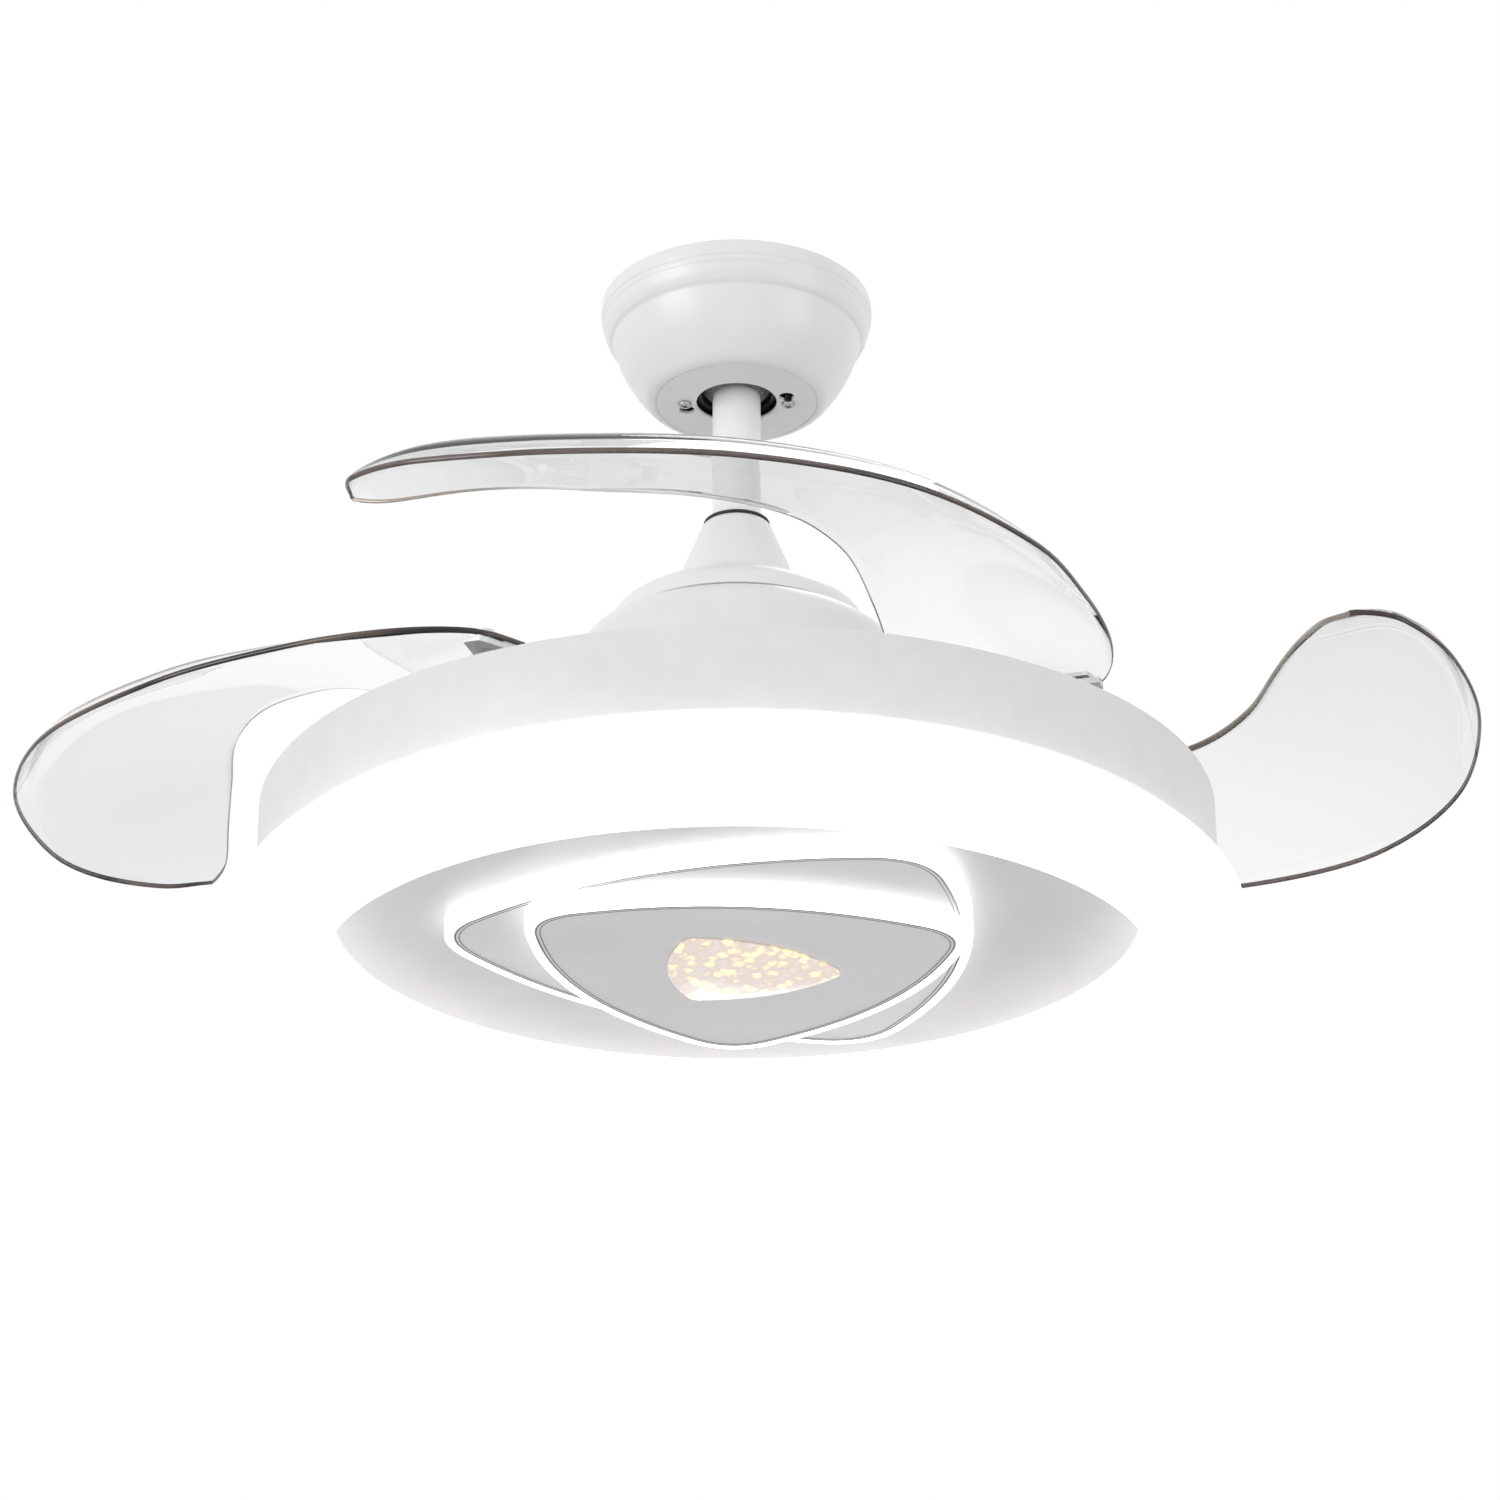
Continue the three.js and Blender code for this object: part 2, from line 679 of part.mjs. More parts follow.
// ---------------------------------------------------------------- gears
// Straight-flanked teeth over part of a circle, closed back through innerRadius.
function toothedOutline(teeth, toothPhase, centre, halfAngle, innerRadius, innerSteps) {
  const pitchRadius = (gearModule * teeth) / 2;
  const tip = pitchRadius + toothTip * gearModule;
  const root = pitchRadius - toothRoot * gearModule;
  const pitch = (2 * Math.PI) / teeth;
  const points = [];
  const first = Math.ceil((centre - halfAngle) / pitch - toothPhase);
  const last = Math.floor((centre + halfAngle) / pitch - toothPhase);
  const corners = [[root, -0.3], [tip, -0.13], [tip, 0.13], [root, 0.3]];
  for (let n = first; n <= last; n++)
    for (const [radius, offset] of corners) {
      const angle = (n + toothPhase + offset) * pitch;
      points.push(P(radius * Math.cos(angle), radius * Math.sin(angle)));
    }
  const begin = (first + toothPhase - 0.3) * pitch;
  const end = (last + toothPhase + 0.3) * pitch;
  for (let i = 0; i <= innerSteps; i++) {
    const angle = end + ((begin - end) * i) / innerSteps;
    points.push(P(innerRadius * Math.cos(angle), innerRadius * Math.sin(angle)));
  }
  return new THREE.Shape(points);
}

const syncPitchRadius = (gearModule * syncTeeth) / 2;
const holderPitchRadius = (gearModule * holderTeeth) / 2;

// A collar round the rotor with a toothed lobe towards each pivot.
function syncGear() {
  const collarRadius = rotorRadius + runningGap + syncCollarWidth;
  const rootRadius = syncPitchRadius - toothRoot * gearModule;
  const windowRadius = (rootRadius - collarRadius) / 2 - syncWindowWall;
  const windowPlace = (rootRadius + collarRadius) / 2;
  const pieces = [tube(rotorRadius + runningGap, collarRadius, gearBottomZ, gearTopZ, medium)];
  for (let i = 0; i < bladeCount; i++) {
    const middle = (i * 2 * Math.PI) / bladeCount + syncLobeTurn;
    const lobe = toothedOutline(syncTeeth, 0, middle, radians(lobeHalfAngle), collarRadius - 2, 3);
    const centre = P(windowPlace, 0).rotateAround(P(0, 0), middle);
    const window = new THREE.Path();
    window.absarc(centre.x, centre.y, windowRadius, 0, 2 * Math.PI, true);
    lobe.holes.push(window);
    pieces.push(plate(lobe, gearBottomZ, gearTopZ));
  }
  return join(...pieces);
}
// The lobes are centred on the middle of the sync gear's travel.
const gearRatio = holderTeeth / syncTeeth;
const syncLobeTurn = radians(((swingOpen + swingFold) / 2) * gearRatio);
add("sync_gear", syncGear(), zinc, rotor);

// ---------------------------------------------------------------- blades
// Edges in the pivot's own frame: X points away from the fan's axis, the pivot is the origin.
const edgeCurve = (shares) =>
  new THREE.SplineCurve(shares.map(([x, y]) => P(x * bladeLength, y * bladeLength)));
const outerEdge = edgeCurve([
  [0.07, 0], [0.141, -0.032], [0.197, -0.124], [0.235, -0.268], [0.262, -0.459], [0.224, -0.676],
  [0.089, -0.854], [-0.108, -0.968], [-0.27, -1.003], [-0.386, -0.981], [-0.426, -0.931],
]);
const innerEdge = edgeCurve([
  [-0.054, -0.057], [-0.076, -0.116], [-0.081, -0.195], [-0.059, -0.289], [-0.038, -0.405], [-0.046, -0.522],
  [-0.114, -0.63], [-0.222, -0.724], [-0.327, -0.814], [-0.4, -0.876], [-0.428, -0.923],
]);

const flatRoot = 0.14; // share of the length that stays level under the clamp
const crestPower = 0.6; // below 1, the crest lies nearer to the outer edge
function bladeHeight(along, across) {
  const end = smooth(along, 0.72, 1);
  const outer = bladeLift * smooth(along, 0.55, 0.9) - bladeDip * smooth(along, 0.26, 0.5);
  const inner = bladeRise * smooth(along, flatRoot, 0.42) - bladeFall * smooth(along, 0.5, 1);
  const arch = bladeArch * smooth(along, flatRoot, 0.5) * (1 - smooth(along, 0.75, 1));
  const chord = outer * (1 - across) + inner * across;
  const crest = arch * Math.sin(Math.PI * across ** crestPower);
  return bladeRootZ + chord * (1 - end) + bladeTipRise * end + crest;
}

const clampScrews = [[-12, -27], [12, -18], [38, -13]];
const clampScrewRadius = 2;
const clampHoles = () =>
  clampScrews.map(([x, y]) =>
    tube(0, clampScrewRadius + clearance, bladeRootZ - 12, bladeRootZ + 6, 8).translate(x, y, 0));

const bladeRows = 18;
const bladeColumns = [0, 0.13, 0.34, 0.64, 1]; // closer together at the crest
const blade = () =>
  cut(sheet(outerEdge, innerEdge, bladeHeight, bladeThickness, bladeRows, bladeColumns), ...clampHoles());

// A strip on top of the blade's root, with its three screws.
function bladeClamp() {
  const low = bladeRootZ + bladeThickness / 2 + clearance;
  const high = low + clampThickness;
  const strip = new THREE.Shape([P(-18, -24), P(-20, -35), P(46, -18), P(46, -10), P(24, -5)]);
  const headHeight = 1.8;
  const screws = clampScrews.map(([x, y]) =>
    revolve(
      [
        [0, holderHubTopZ - holderArmThickness],
        [clampScrewRadius, holderHubTopZ - holderArmThickness],
        [clampScrewRadius, high - 0.5],
        [2 * clampScrewRadius, high - 0.5],
        [1.6 * clampScrewRadius, high + headHeight],
        [0, high + headHeight],
      ],
      8,
    ).translate(x, y, 0));
  return join(plate(strip, low, high), ...screws);
}

const holderHubTopZ = bladeRootZ - bladeThickness / 2 - clearance;
const holderArmThickness = 3;
// The holder: a toothed sector on the carrier, a hub round the post and an arm under the blade.
function bladeHolder() {
  // one tooth of the sync gear points at each pivot, so the holder has a gap there
  const sector = toothedOutline(
    holderTeeth, 0.5, Math.PI + holderSectorTurn, radians(sectorHalfAngle), hubRadius - 2, 4,
  );
  const arm = new THREE.Shape([
    P(-12, 12), P(-14, -2), P(-19, -23), P(-24, -40), P(52, -17), P(50, -9), P(25, 0), P(12, 12),
  ]);
  const body = join(
    plate(sector, gearBottomZ, gearTopZ),
    tube(0, hubRadius, gearBottomZ, holderHubTopZ, coarse),
    plate(arm, holderHubTopZ - holderArmThickness, holderHubTopZ),
  );
  return cut(body, tube(0, postRadius + clearance, gearBottomZ - 1, holderHubTopZ + 1, 12), ...clampHoles());
}
const holderSectorTurn = -radians((swingOpen + swingFold) / 2);

function pivotPost() {
  const headZ = carrierBottomZ - clearance;
  const rivetZ = holderHubTopZ + clearance;
  return revolve(
    [
      [0, headZ - postHeadHeight],
      [postHeadRadius, headZ - postHeadHeight],
      [postHeadRadius, headZ],
      [postRadius, headZ],
      [postRadius, rivetZ],
      [postHeadRadius, rivetZ],
      [postHeadRadius - 1, rivetZ + 2],
      [0, rivetZ + 2],
    ],
    12,
  );
}

// A torsion spring round the hub, one unbroken wire with a leg towards the carrier's rim.
const springCoilRadius = hubRadius + springHubGap + springWireRadius;
const stepsPerCurl = 8;
function springRoute() {
  const startZ = gearTopZ + clearance + springWireRadius;
  const points = [];
  for (let i = 0; i <= springCurls * stepsPerCurl; i++) {
    const turn = (i / stepsPerCurl) * 2 * Math.PI;
    points.push(
      new THREE.Vector3(
        springCoilRadius * Math.cos(turn - Math.PI / 2),
        springCoilRadius * Math.sin(turn - Math.PI / 2),
        startZ + (springPitch * i) / stepsPerCurl,
      ),
    );
  }
  const last = points.at(-1);
  points.push(new THREE.Vector3(last.x + springLeg, last.y, last.z));
  return points;
}
const returnSpring = () => wire(springRoute(), springWireRadius, 5);

// Least gap of the wire to itself, between straights at least this many steps apart along it.
function leastSelfGap(points, radius, apart) {
  const shares = [0, 0.25, 0.5, 0.75];
  const samples = points.slice(0, -1)
    .flatMap((point, i) => shares.map((share) => point.clone().lerp(points[i + 1], share)));
  let least = Infinity;
  samples.forEach((one, i) => {
    for (const other of samples.slice(i + shares.length * apart))
      least = Math.min(least, one.distanceTo(other));
  });
  return least - 2 * radius;
}
const springGap = leastSelfGap(springRoute(), springWireRadius, stepsPerCurl / 2);
console.log(`return springs: least gap to themselves ${springGap.toFixed(2)} mm`);

for (let i = 0; i < bladeCount; i++) {
  const place = new THREE.Group();
  place.position.x = pivotRadius;
  pivots[i].add(place);
  const number = i + 1;
  add(`blade_${number}`, blade(), bladeClear, place);
  add(`blade_clamp_${number}`, bladeClamp(), zinc, place);
  add(`blade_holder_${number}`, bladeHolder(), zinc, place);
  add(`pivot_post_${number}`, pivotPost(), steel, place);
  add(`return_spring_${number}`, returnSpring(), steel, place);
}

// ---------------------------------------------------------------- lamp
const drumBore = shaftRadius + clearance;
function drumHousing() {
  const plateLowZ = drumPlateTopZ - drumWall;
  return revolve(
    [
      [drumBore, plateLowZ],
      [drumRadius - drumWall, plateLowZ],
      [drumRadius - drumWall, drumBottomZ + drumWall],
      [drumRadius - drumLip, drumBottomZ + drumWall],
      [drumRadius - drumLip, drumBottomZ],
      [drumRadius, drumBottomZ],
      [drumRadius, drumTopZ - 1],
      [drumRadius - 0.4, drumTopZ],
      [drumRadius - drumWall, drumTopZ],
      [drumRadius - drumWall - 1, drumPlateTopZ],
      [drumBore, drumPlateTopZ],
    ],
    fine,
  );
}
add("drum_housing", drumHousing(), whitePaint, hung);
add(
  "light_mount_plate",
  tube(drumBore, mountPlateRadius, drumPlateTopZ + clearance, mountPlateTopZ, coarse),
  zinc,
  hung,
);
const nutTopZ = drumPlateTopZ - drumWall - clearance;
const nutBottomZ = nutTopZ - nutHeight;
const nutBore = tube(0, drumBore, nutBottomZ - 1, nutTopZ + 1, coarse);
add("shaft_nut", cut(tube(0, nutRadius, nutBottomZ, nutTopZ, 6), nutBore), steel, hung);

const trayWallRadius = diffuserInnerRadius - 0.8;
const trayFlangeZ = drumBottomZ + drumWall + clearance;
function basePlate() {
  const flangeRadius = drumRadius - drumWall - clearance;
  return revolve(
    [
      [0, basePlateZ],
      [trayWallRadius, basePlateZ],
      [trayWallRadius, trayFlangeZ],
      [flangeRadius, trayFlangeZ],
      [flangeRadius, trayFlangeZ + plateThickness],
      [trayWallRadius - plateThickness, trayFlangeZ + plateThickness],
      [trayWallRadius - plateThickness, basePlateZ + plateThickness],
      [0, basePlateZ + plateThickness],
    ],
    fine,
  );
}
add("base_plate", basePlate(), whitePaint, hung);
const boardTopZ = trayFlangeZ - clearance;
const boardOuterRadius = drumRadius - drumLip - boardEdgeGap;
const boardInnerRadius = trayWallRadius + boardEdgeGap;
add(
  "led_ring_board",
  tube(boardInnerRadius, boardOuterRadius, boardTopZ - boardThickness, boardTopZ, fine),
  boardWhite,
  hung,
);
const driverZ = basePlateZ + plateThickness + clearance;
const driverPlaceY = 90;
add(
  "led_driver",
  box(driverSize[0], driverSize[1], driverZ, driverZ + driverSize[2], 0, driverPlaceY),
  boardWhite,
  hung,
);

// The diffuser is a channel, open upwards: wide rounded outside, flat sole, sloping inner wall.
function diffuserRing() {
  const topZ = drumBottomZ - clearance;
  const soleZ = topZ - diffuserDepth;
  const outerWall = new THREE.SplineCurve([
    P(diffuserRadius - 11.5, topZ),
    P(diffuserRadius - 1.5, topZ - 9),
    P(diffuserRadius, topZ - 16),
    P(diffuserRadius - 6.5, topZ - 31),
    P(diffuserRadius - 22, soleZ + 1.4),
    P(diffuserRadius - 38, soleZ),
  ]).getPoints(6);
  const innerWall = [P(diffuserInnerRadius + 4, soleZ + 4), P(diffuserInnerRadius, topZ - 9)];
  const skin = [...outerWall, ...innerWall];
  const offset = skin.map((point, i) => {
    const before = skin[Math.max(i - 1, 0)];
    const after = skin[Math.min(i + 1, skin.length - 1)];
    const normal = after.clone().sub(before).normalize().rotateAround(P(0, 0), Math.PI / 2);
    return point.clone().addScaledVector(normal, -diffuserWall);
  });
  const inset = offset.filter((point, i) => i % 2 === 0); // the hidden side needs fewer rings
  inset[0].set(skin[0].x - diffuserWall, topZ);
  inset.at(-1).set(skin.at(-1).x + diffuserWall, skin.at(-1).y);
  const profile = [...skin.reverse(), ...inset].map((point) => [point.x, point.y]);
  return revolve(profile, fine);
}
add("diffuser_ring", diffuserRing(), glowWhite, hung);

// A rounded triangle with bulging sides. Corners are [distance from the axis, direction in degrees].
function bulgedTriangle(corners, inset) {
  const cornerShare = 0.1;
  const sideSteps = 6;
  const cornerSteps = 3;
  const tips = corners.map(([radius, degrees]) =>
    P(radius * Math.cos(radians(degrees)), radius * Math.sin(radians(degrees))));
  const centre = tips[0].clone().add(tips[1]).add(tips[2]).divideScalar(3);
  const side = (i, share) => {
    const from = tips[i % 3];
    const to = tips[(i + 1) % 3];
    const middle = from.clone().add(to).divideScalar(2);
    const outwards = middle.clone().sub(centre).normalize();
    const sagitta = from.distanceTo(to) * lampBulge * 4 * share * (1 - share);
    return from.clone().lerp(to, share).addScaledVector(outwards, sagitta);
  };
  const outline = [];
  for (let i = 0; i < 3; i++) {
    for (let k = 0; k <= sideSteps; k++)
      outline.push(side(i, cornerShare + ((1 - 2 * cornerShare) * k) / sideSteps));
    const corner = tips[(i + 1) % 3];
    const bend = new THREE.QuadraticBezierCurve(side(i, 1 - cornerShare), corner, side(i + 1, cornerShare));
    outline.push(...bend.getPoints(cornerSteps).slice(1, -1));
  }
  return outline.map((point, i) => {
    const before = outline.at(i - 1);
    const after = outline[(i + 1) % outline.length];
    const inwards = after.clone().sub(before).normalize().rotateAround(P(0, 0), Math.PI / 2);
    return point.clone().addScaledVector(inwards, inset);
  });
}

function lampRim(corners, low, high) {
  const shape = new THREE.Shape(bulgedTriangle(corners, 0));
  shape.holes.push(new THREE.Path(bulgedTriangle(corners, lampRimWidth)));
  return plate(shape, low, high);
}

function lampFace(corners, rimBottomZ) {
  const low = rimBottomZ + lampFaceRecess;
  const outline = new THREE.Shape(bulgedTriangle(corners, lampRimWidth + clearance));
  return plate(outline, low, low + lampFaceThickness);
}

const cornersAt = (reach, ...degrees) => degrees.map((turn) => [reach, turn]);
const upperCorners = cornersAt(upperLampReach, -172, -50, 64);
const lowerCorners = cornersAt(lowerLampReach, -148, -19, 90);
const crystalCorners = cornersAt(crystalReach, -120, 8, 118);
add("upper_lamp_rim", lampRim(upperCorners, upperRimBottomZ, upperRimTopZ), glowWhite, hung);
add("upper_lamp_face", lampFace(upperCorners, upperRimBottomZ), lampGrey, hung);
add("lower_lamp_rim", lampRim(lowerCorners, lowerRimBottomZ, lowerRimTopZ), glowWhite, hung);
const crystalHole = plate(
  new THREE.Shape(bulgedTriangle(crystalCorners, -clearance)),
  lowerRimBottomZ - 1,
  lowerRimTopZ + 1,
);
add("lower_lamp_face", cut(lampFace(lowerCorners, lowerRimBottomZ), crystalHole), lampGrey, hung);
const crystalZ = lowerRimBottomZ + lampFaceRecess;
add(
  "crystal_panel",
  plate(new THREE.Shape(bulgedTriangle(crystalCorners, 0)), crystalZ, crystalZ + crystalThickness),
  crystalAmber,
  hung,
);

export default fan;
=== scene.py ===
# Looks of the retractable blade ceiling fan. Metres, +Z up, Z = 0 at the ceiling.
import math

import bmesh
import bpy
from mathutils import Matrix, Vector


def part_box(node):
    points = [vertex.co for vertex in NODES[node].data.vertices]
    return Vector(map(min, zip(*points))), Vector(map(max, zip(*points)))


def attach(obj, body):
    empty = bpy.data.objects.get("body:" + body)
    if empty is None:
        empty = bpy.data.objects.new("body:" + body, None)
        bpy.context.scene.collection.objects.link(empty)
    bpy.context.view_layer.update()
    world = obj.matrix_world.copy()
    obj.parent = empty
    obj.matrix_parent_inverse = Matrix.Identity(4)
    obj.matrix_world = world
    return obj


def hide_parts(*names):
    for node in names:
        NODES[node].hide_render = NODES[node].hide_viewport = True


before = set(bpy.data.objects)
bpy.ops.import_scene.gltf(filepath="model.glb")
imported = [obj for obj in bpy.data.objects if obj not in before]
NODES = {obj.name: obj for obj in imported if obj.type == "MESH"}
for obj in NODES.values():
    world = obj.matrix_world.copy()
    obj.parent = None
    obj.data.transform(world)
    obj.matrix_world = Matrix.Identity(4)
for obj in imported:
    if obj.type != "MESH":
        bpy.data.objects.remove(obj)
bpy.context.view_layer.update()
MM = 0.001
scene = bpy.context.scene


# ---------------------------------------------------------------- heights and sizes, mm
CANOPY_FLOOR = -59.4
MOUTH_RADIUS = 21.8
SCREW_RADIUS = 28.0
KEYHOLE_TRAVEL = 7.5
SLOT_HALF = 2.1
ENTRY_RADIUS = 4.2
BALL_Z = -36.0
BALL_RADIUS = 24.0
BALL_TOP = -22.0
RIB_COUNT = 54
RIB_DEPTH = 0.7
ROD_RADIUS = 13.0
ROD_BORE = 11.4
ROD_GAP = 0.3
COVER_TOP = -134.6
MOTOR_TOP = -184.3
MOTOR_BOTTOM = -235.0
BLADE_ROOT = -280.9
DRUM_PLATE = -312.3
DRUM_TOP = -308.5
DRUM_BOTTOM = -351.6
DIFFUSER_TOP = -351.9
DIFFUSER_SOLE = -396.6
DIFFUSER_RADIUS = 256.9
DIFFUSER_INNER = 207.4
BASE_PLATE = -363.0
UPPER_RIM = (-363.3, -374.3)
LOWER_RIM = (-374.6, -385.6)
PIVOT_RADIUS = 167.5
FIRST_PIVOT = -32.0  # degrees
SHEET = 3.0
PRESSED = 1.5  # thickness of the drum's and base plate's sheet
CAST_SHEET = 1.6  # of the motor cover
SHAFT_HOLE = 10.3


# ---------------------------------------------------------------- camera
VIEW_RISE = 23.65  # degrees that the camera looks up
VIEW_ROLL = 0.083


def make_camera():
    data = bpy.data.cameras.new("camera")
    data.sensor_width = 36.0
    data.lens = 94.82
    data.shift_x = 0.0071
    data.clip_start = 0.05
    data.clip_end = 60.0
    camera = bpy.data.objects.new("camera", data)
    scene.collection.objects.link(camera)
    camera.location = (0.0, -1.8855, -1.0902)
    camera.rotation_euler = (math.radians(90 + VIEW_RISE), math.radians(VIEW_ROLL), 0.0)
    scene.camera = camera


make_camera()
scene.view_settings.view_transform = "Standard"


# ---------------------------------------------------------------- node helpers
def new_material(name):
    material = bpy.data.materials.new(name)
    material.use_nodes = True
    tree = material.node_tree
    return material, tree, tree.nodes["Principled BSDF"]


def wire(tree, source, target):
    tree.links.new(source, target)


def position(tree):
    return tree.nodes.new("ShaderNodeTexCoord").outputs["Object"]


def noise(tree, scale, detail=3.0, roughness=0.55, vector=None):
    made = tree.nodes.new("ShaderNodeTexNoise")
    made.inputs["Scale"].default_value = scale
    made.inputs["Detail"].default_value = detail
    made.inputs["Roughness"].default_value = roughness
    wire(tree, vector if vector is not None else position(tree), made.inputs["Vector"])
    return made.outputs["Fac"]


def ramp(tree, value, stops):
    made = tree.nodes.new("ShaderNodeValToRGB")
    elements = made.color_ramp.elements
    while len(elements) < len(stops):
        elements.new(0.5)
    for element, (at, colour) in zip(elements, stops):
        element.position = at
        element.color = (*colour, 1.0)
    wire(tree, value, made.inputs["Fac"])
    return made.outputs["Color"]


def spread(tree, value, low, high, out_low, out_high):
    made = tree.nodes.new("ShaderNodeMapRange")
    for key, number in (("From Min", low), ("From Max", high), ("To Min", out_low), ("To Max", out_high)):
        made.inputs[key].default_value = number
    wire(tree, value, made.inputs["Value"])
    return made.outputs["Result"]


def bump(tree, shader, height, strength, distance):
    made = tree.nodes.new("ShaderNodeBump")
    made.inputs["Strength"].default_value = strength
    made.inputs["Distance"].default_value = distance
    wire(tree, height, made.inputs["Height"])
    wire(tree, made.outputs["Normal"], shader.inputs["Normal"])


def painted(name, dark, light, roughness=(0.3, 0.42), blotch=18.0, grain=900.0, depth=0.00004, coat=0.15):
    """Powder-coated or moulded surface: slow colour drift, fine orange peel."""
    material, tree, shader = new_material(name)
    drift = ramp(tree, noise(tree, blotch, 4.0), [(0.35, dark), (0.65, light)])
    wire(tree, drift, shader.inputs["Base Color"])
    wire(tree, spread(tree, noise(tree, blotch * 6), 0.3, 0.7, *roughness), shader.inputs["Roughness"])
    bump(tree, shader, noise(tree, grain, 2.0), 0.25, depth)
    shader.inputs["Coat Weight"].default_value = coat
    shader.inputs["Coat Roughness"].default_value = 0.25
    return material


def metal(name, dark, light, roughness=(0.25, 0.4), streak=(1.0, 1.0, 12.0), grain=260.0):
    material, tree, shader = new_material(name)
    mapping = tree.nodes.new("ShaderNodeMapping")
    mapping.inputs["Scale"].default_value = streak
    wire(tree, position(tree), mapping.inputs["Vector"])
    field = noise(tree, grain, 4.0, vector=mapping.outputs["Vector"])
    wire(tree, ramp(tree, field, [(0.3, dark), (0.7, light)]), shader.inputs["Base Color"])
    wire(tree, spread(tree, field, 0.3, 0.7, *roughness), shader.inputs["Roughness"])
    bump(tree, shader, field, 0.2, 0.00003)
    shader.inputs["Metallic"].default_value = 1.0
    return material


# ---------------------------------------------------------------- materials
# painted light: a lighter copy of the white paint, because the rod behind the blades gets less light
ROD_PAINT_PAINTED_LIGHT = painted("rod_paint_painted_light", (0.87, 0.87, 0.875), (0.90, 0.90, 0.90))
PAINT = painted("white_paint", (0.79, 0.79, 0.795), (0.83, 0.83, 0.83))
# painted shade: a darker copy of the white paint, which shades the drum down under the key and fill lights
DRUM_PAINT_PAINTED_SHADE = painted(
    "drum_paint_painted_shade", (0.725, 0.72, 0.715), (0.745, 0.745, 0.74), roughness=(0.42, 0.52), blotch=60.0,
)
# painted shade: a much darker copy of the white paint, so the base plate stays grey under the glow of the
# lamps beside it
PLATE_PAINT_PAINTED_SHADE = painted(
    "plate_paint_painted_shade", (0.575, 0.57, 0.57), (0.605, 0.60, 0.60), roughness=(0.4, 0.5), blotch=9.0,
)
LAMP_GREY = painted(
    "lamp_grey", (0.72, 0.71, 0.725), (0.75, 0.74, 0.755), roughness=(0.38, 0.46), blotch=30.0, coat=0.0,
)
LINE_GREY = painted(
    "lamp_line", (0.10, 0.10, 0.105), (0.17, 0.165, 0.17), roughness=(0.3, 0.4), blotch=40.0,
)
WHITE_PLASTIC = painted("white_plastic", (0.78, 0.78, 0.77), (0.84, 0.84, 0.83), grain=500.0)
GREY_PLASTIC = painted(
    "grey_plastic", (0.14, 0.14, 0.145), (0.28, 0.28, 0.29), roughness=(0.45, 0.65), blotch=220.0,
    grain=1400.0, depth=0.0001,
)
RUBBER = painted(
    "black_rubber", (0.008, 0.008, 0.008), (0.02, 0.02, 0.02), roughness=(0.5, 0.7), blotch=60.0, coat=0.0,
)
# painted shade: the canopy is white inside, and this near-black stands for the shade within the bowl
CANOPY_INSIDE_PAINTED_SHADE = painted(
    "canopy_inside_painted_shade", (0.03, 0.03, 0.03), (0.06, 0.06, 0.06), roughness=(0.6, 0.8), coat=0.0,
)
BOARD = painted("board_white", (0.74, 0.74, 0.70), (0.80, 0.80, 0.77), blotch=60.0)
EVEN = (1.0, 1.0, 1.0)  # no streaks
# painted shade: the ceiling bracket's zinc, darkened to near-black for the shade it sits in inside the canopy
# mouth
ZINC_PAINTED_SHADE = metal("zinc_painted_shade", (0.05, 0.05, 0.053), (0.12, 0.12, 0.125), roughness=(0.4, 0.55))
STEEL = metal("steel", (0.42, 0.43, 0.44), (0.62, 0.63, 0.64))
ZINC = metal(
    "zinc", (0.55, 0.56, 0.57), (0.74, 0.745, 0.75), roughness=(0.32, 0.5), streak=EVEN, grain=120.0,
)
CAST = metal(
    "cast_aluminium", (0.48, 0.48, 0.49), (0.62, 0.62, 0.63), roughness=(0.45, 0.6), streak=EVEN, grain=700.0,
)
COPPER = metal(
    "copper", (0.55, 0.25, 0.12), (0.80, 0.42, 0.22), roughness=(0.3, 0.45), streak=(1.0, 1.0, 30.0),
    grain=160.0,
)


def glowing(name, colour, strength, edge=None, low=0.0, high=1.0):
    """Lit opal plastic. Edge is a cream that the glow falls off to between two heights."""
    material, tree, shader = new_material(name)
    shader.inputs["Base Color"].default_value = (0.86, 0.86, 0.85, 1.0)
    shader.inputs["Subsurface Weight"].default_value = 0.1
    wire(tree, spread(tree, noise(tree, 60.0), 0.3, 0.7, 0.3, 0.4), shader.inputs["Roughness"])
    bump(tree, shader, noise(tree, 1200.0, 2.0), 0.15, 0.00003)
    shader.inputs["Emission Strength"].default_value = strength
    if edge is None:
        grain = ramp(tree, noise(tree, 40.0), [(0.3, tuple(0.985 * part for part in colour)), (0.7, colour)])
        wire(tree, grain, shader.inputs["Emission Color"])
    else:
        split = tree.nodes.new("ShaderNodeSeparateXYZ")
        wire(tree, position(tree), split.inputs["Vector"])
        share = spread(tree, split.outputs["Z"], low, high, 0.0, 1.0)
        glow = ramp(tree, share, [(0.0, edge), (0.12, colour), (0.8, colour), (1.0, edge)])
        wire(tree, glow, shader.inputs["Emission Color"])
    return material


DIFFUSER = glowing(
    "lit_diffuser", (1.0, 1.0, 0.99), 1.0, (0.93, 0.92, 0.87), DIFFUSER_SOLE * MM, DIFFUSER_TOP * MM,
)
RIM_GLOW = glowing("rim_glow", (1.0, 1.0, 1.0), 1.45)


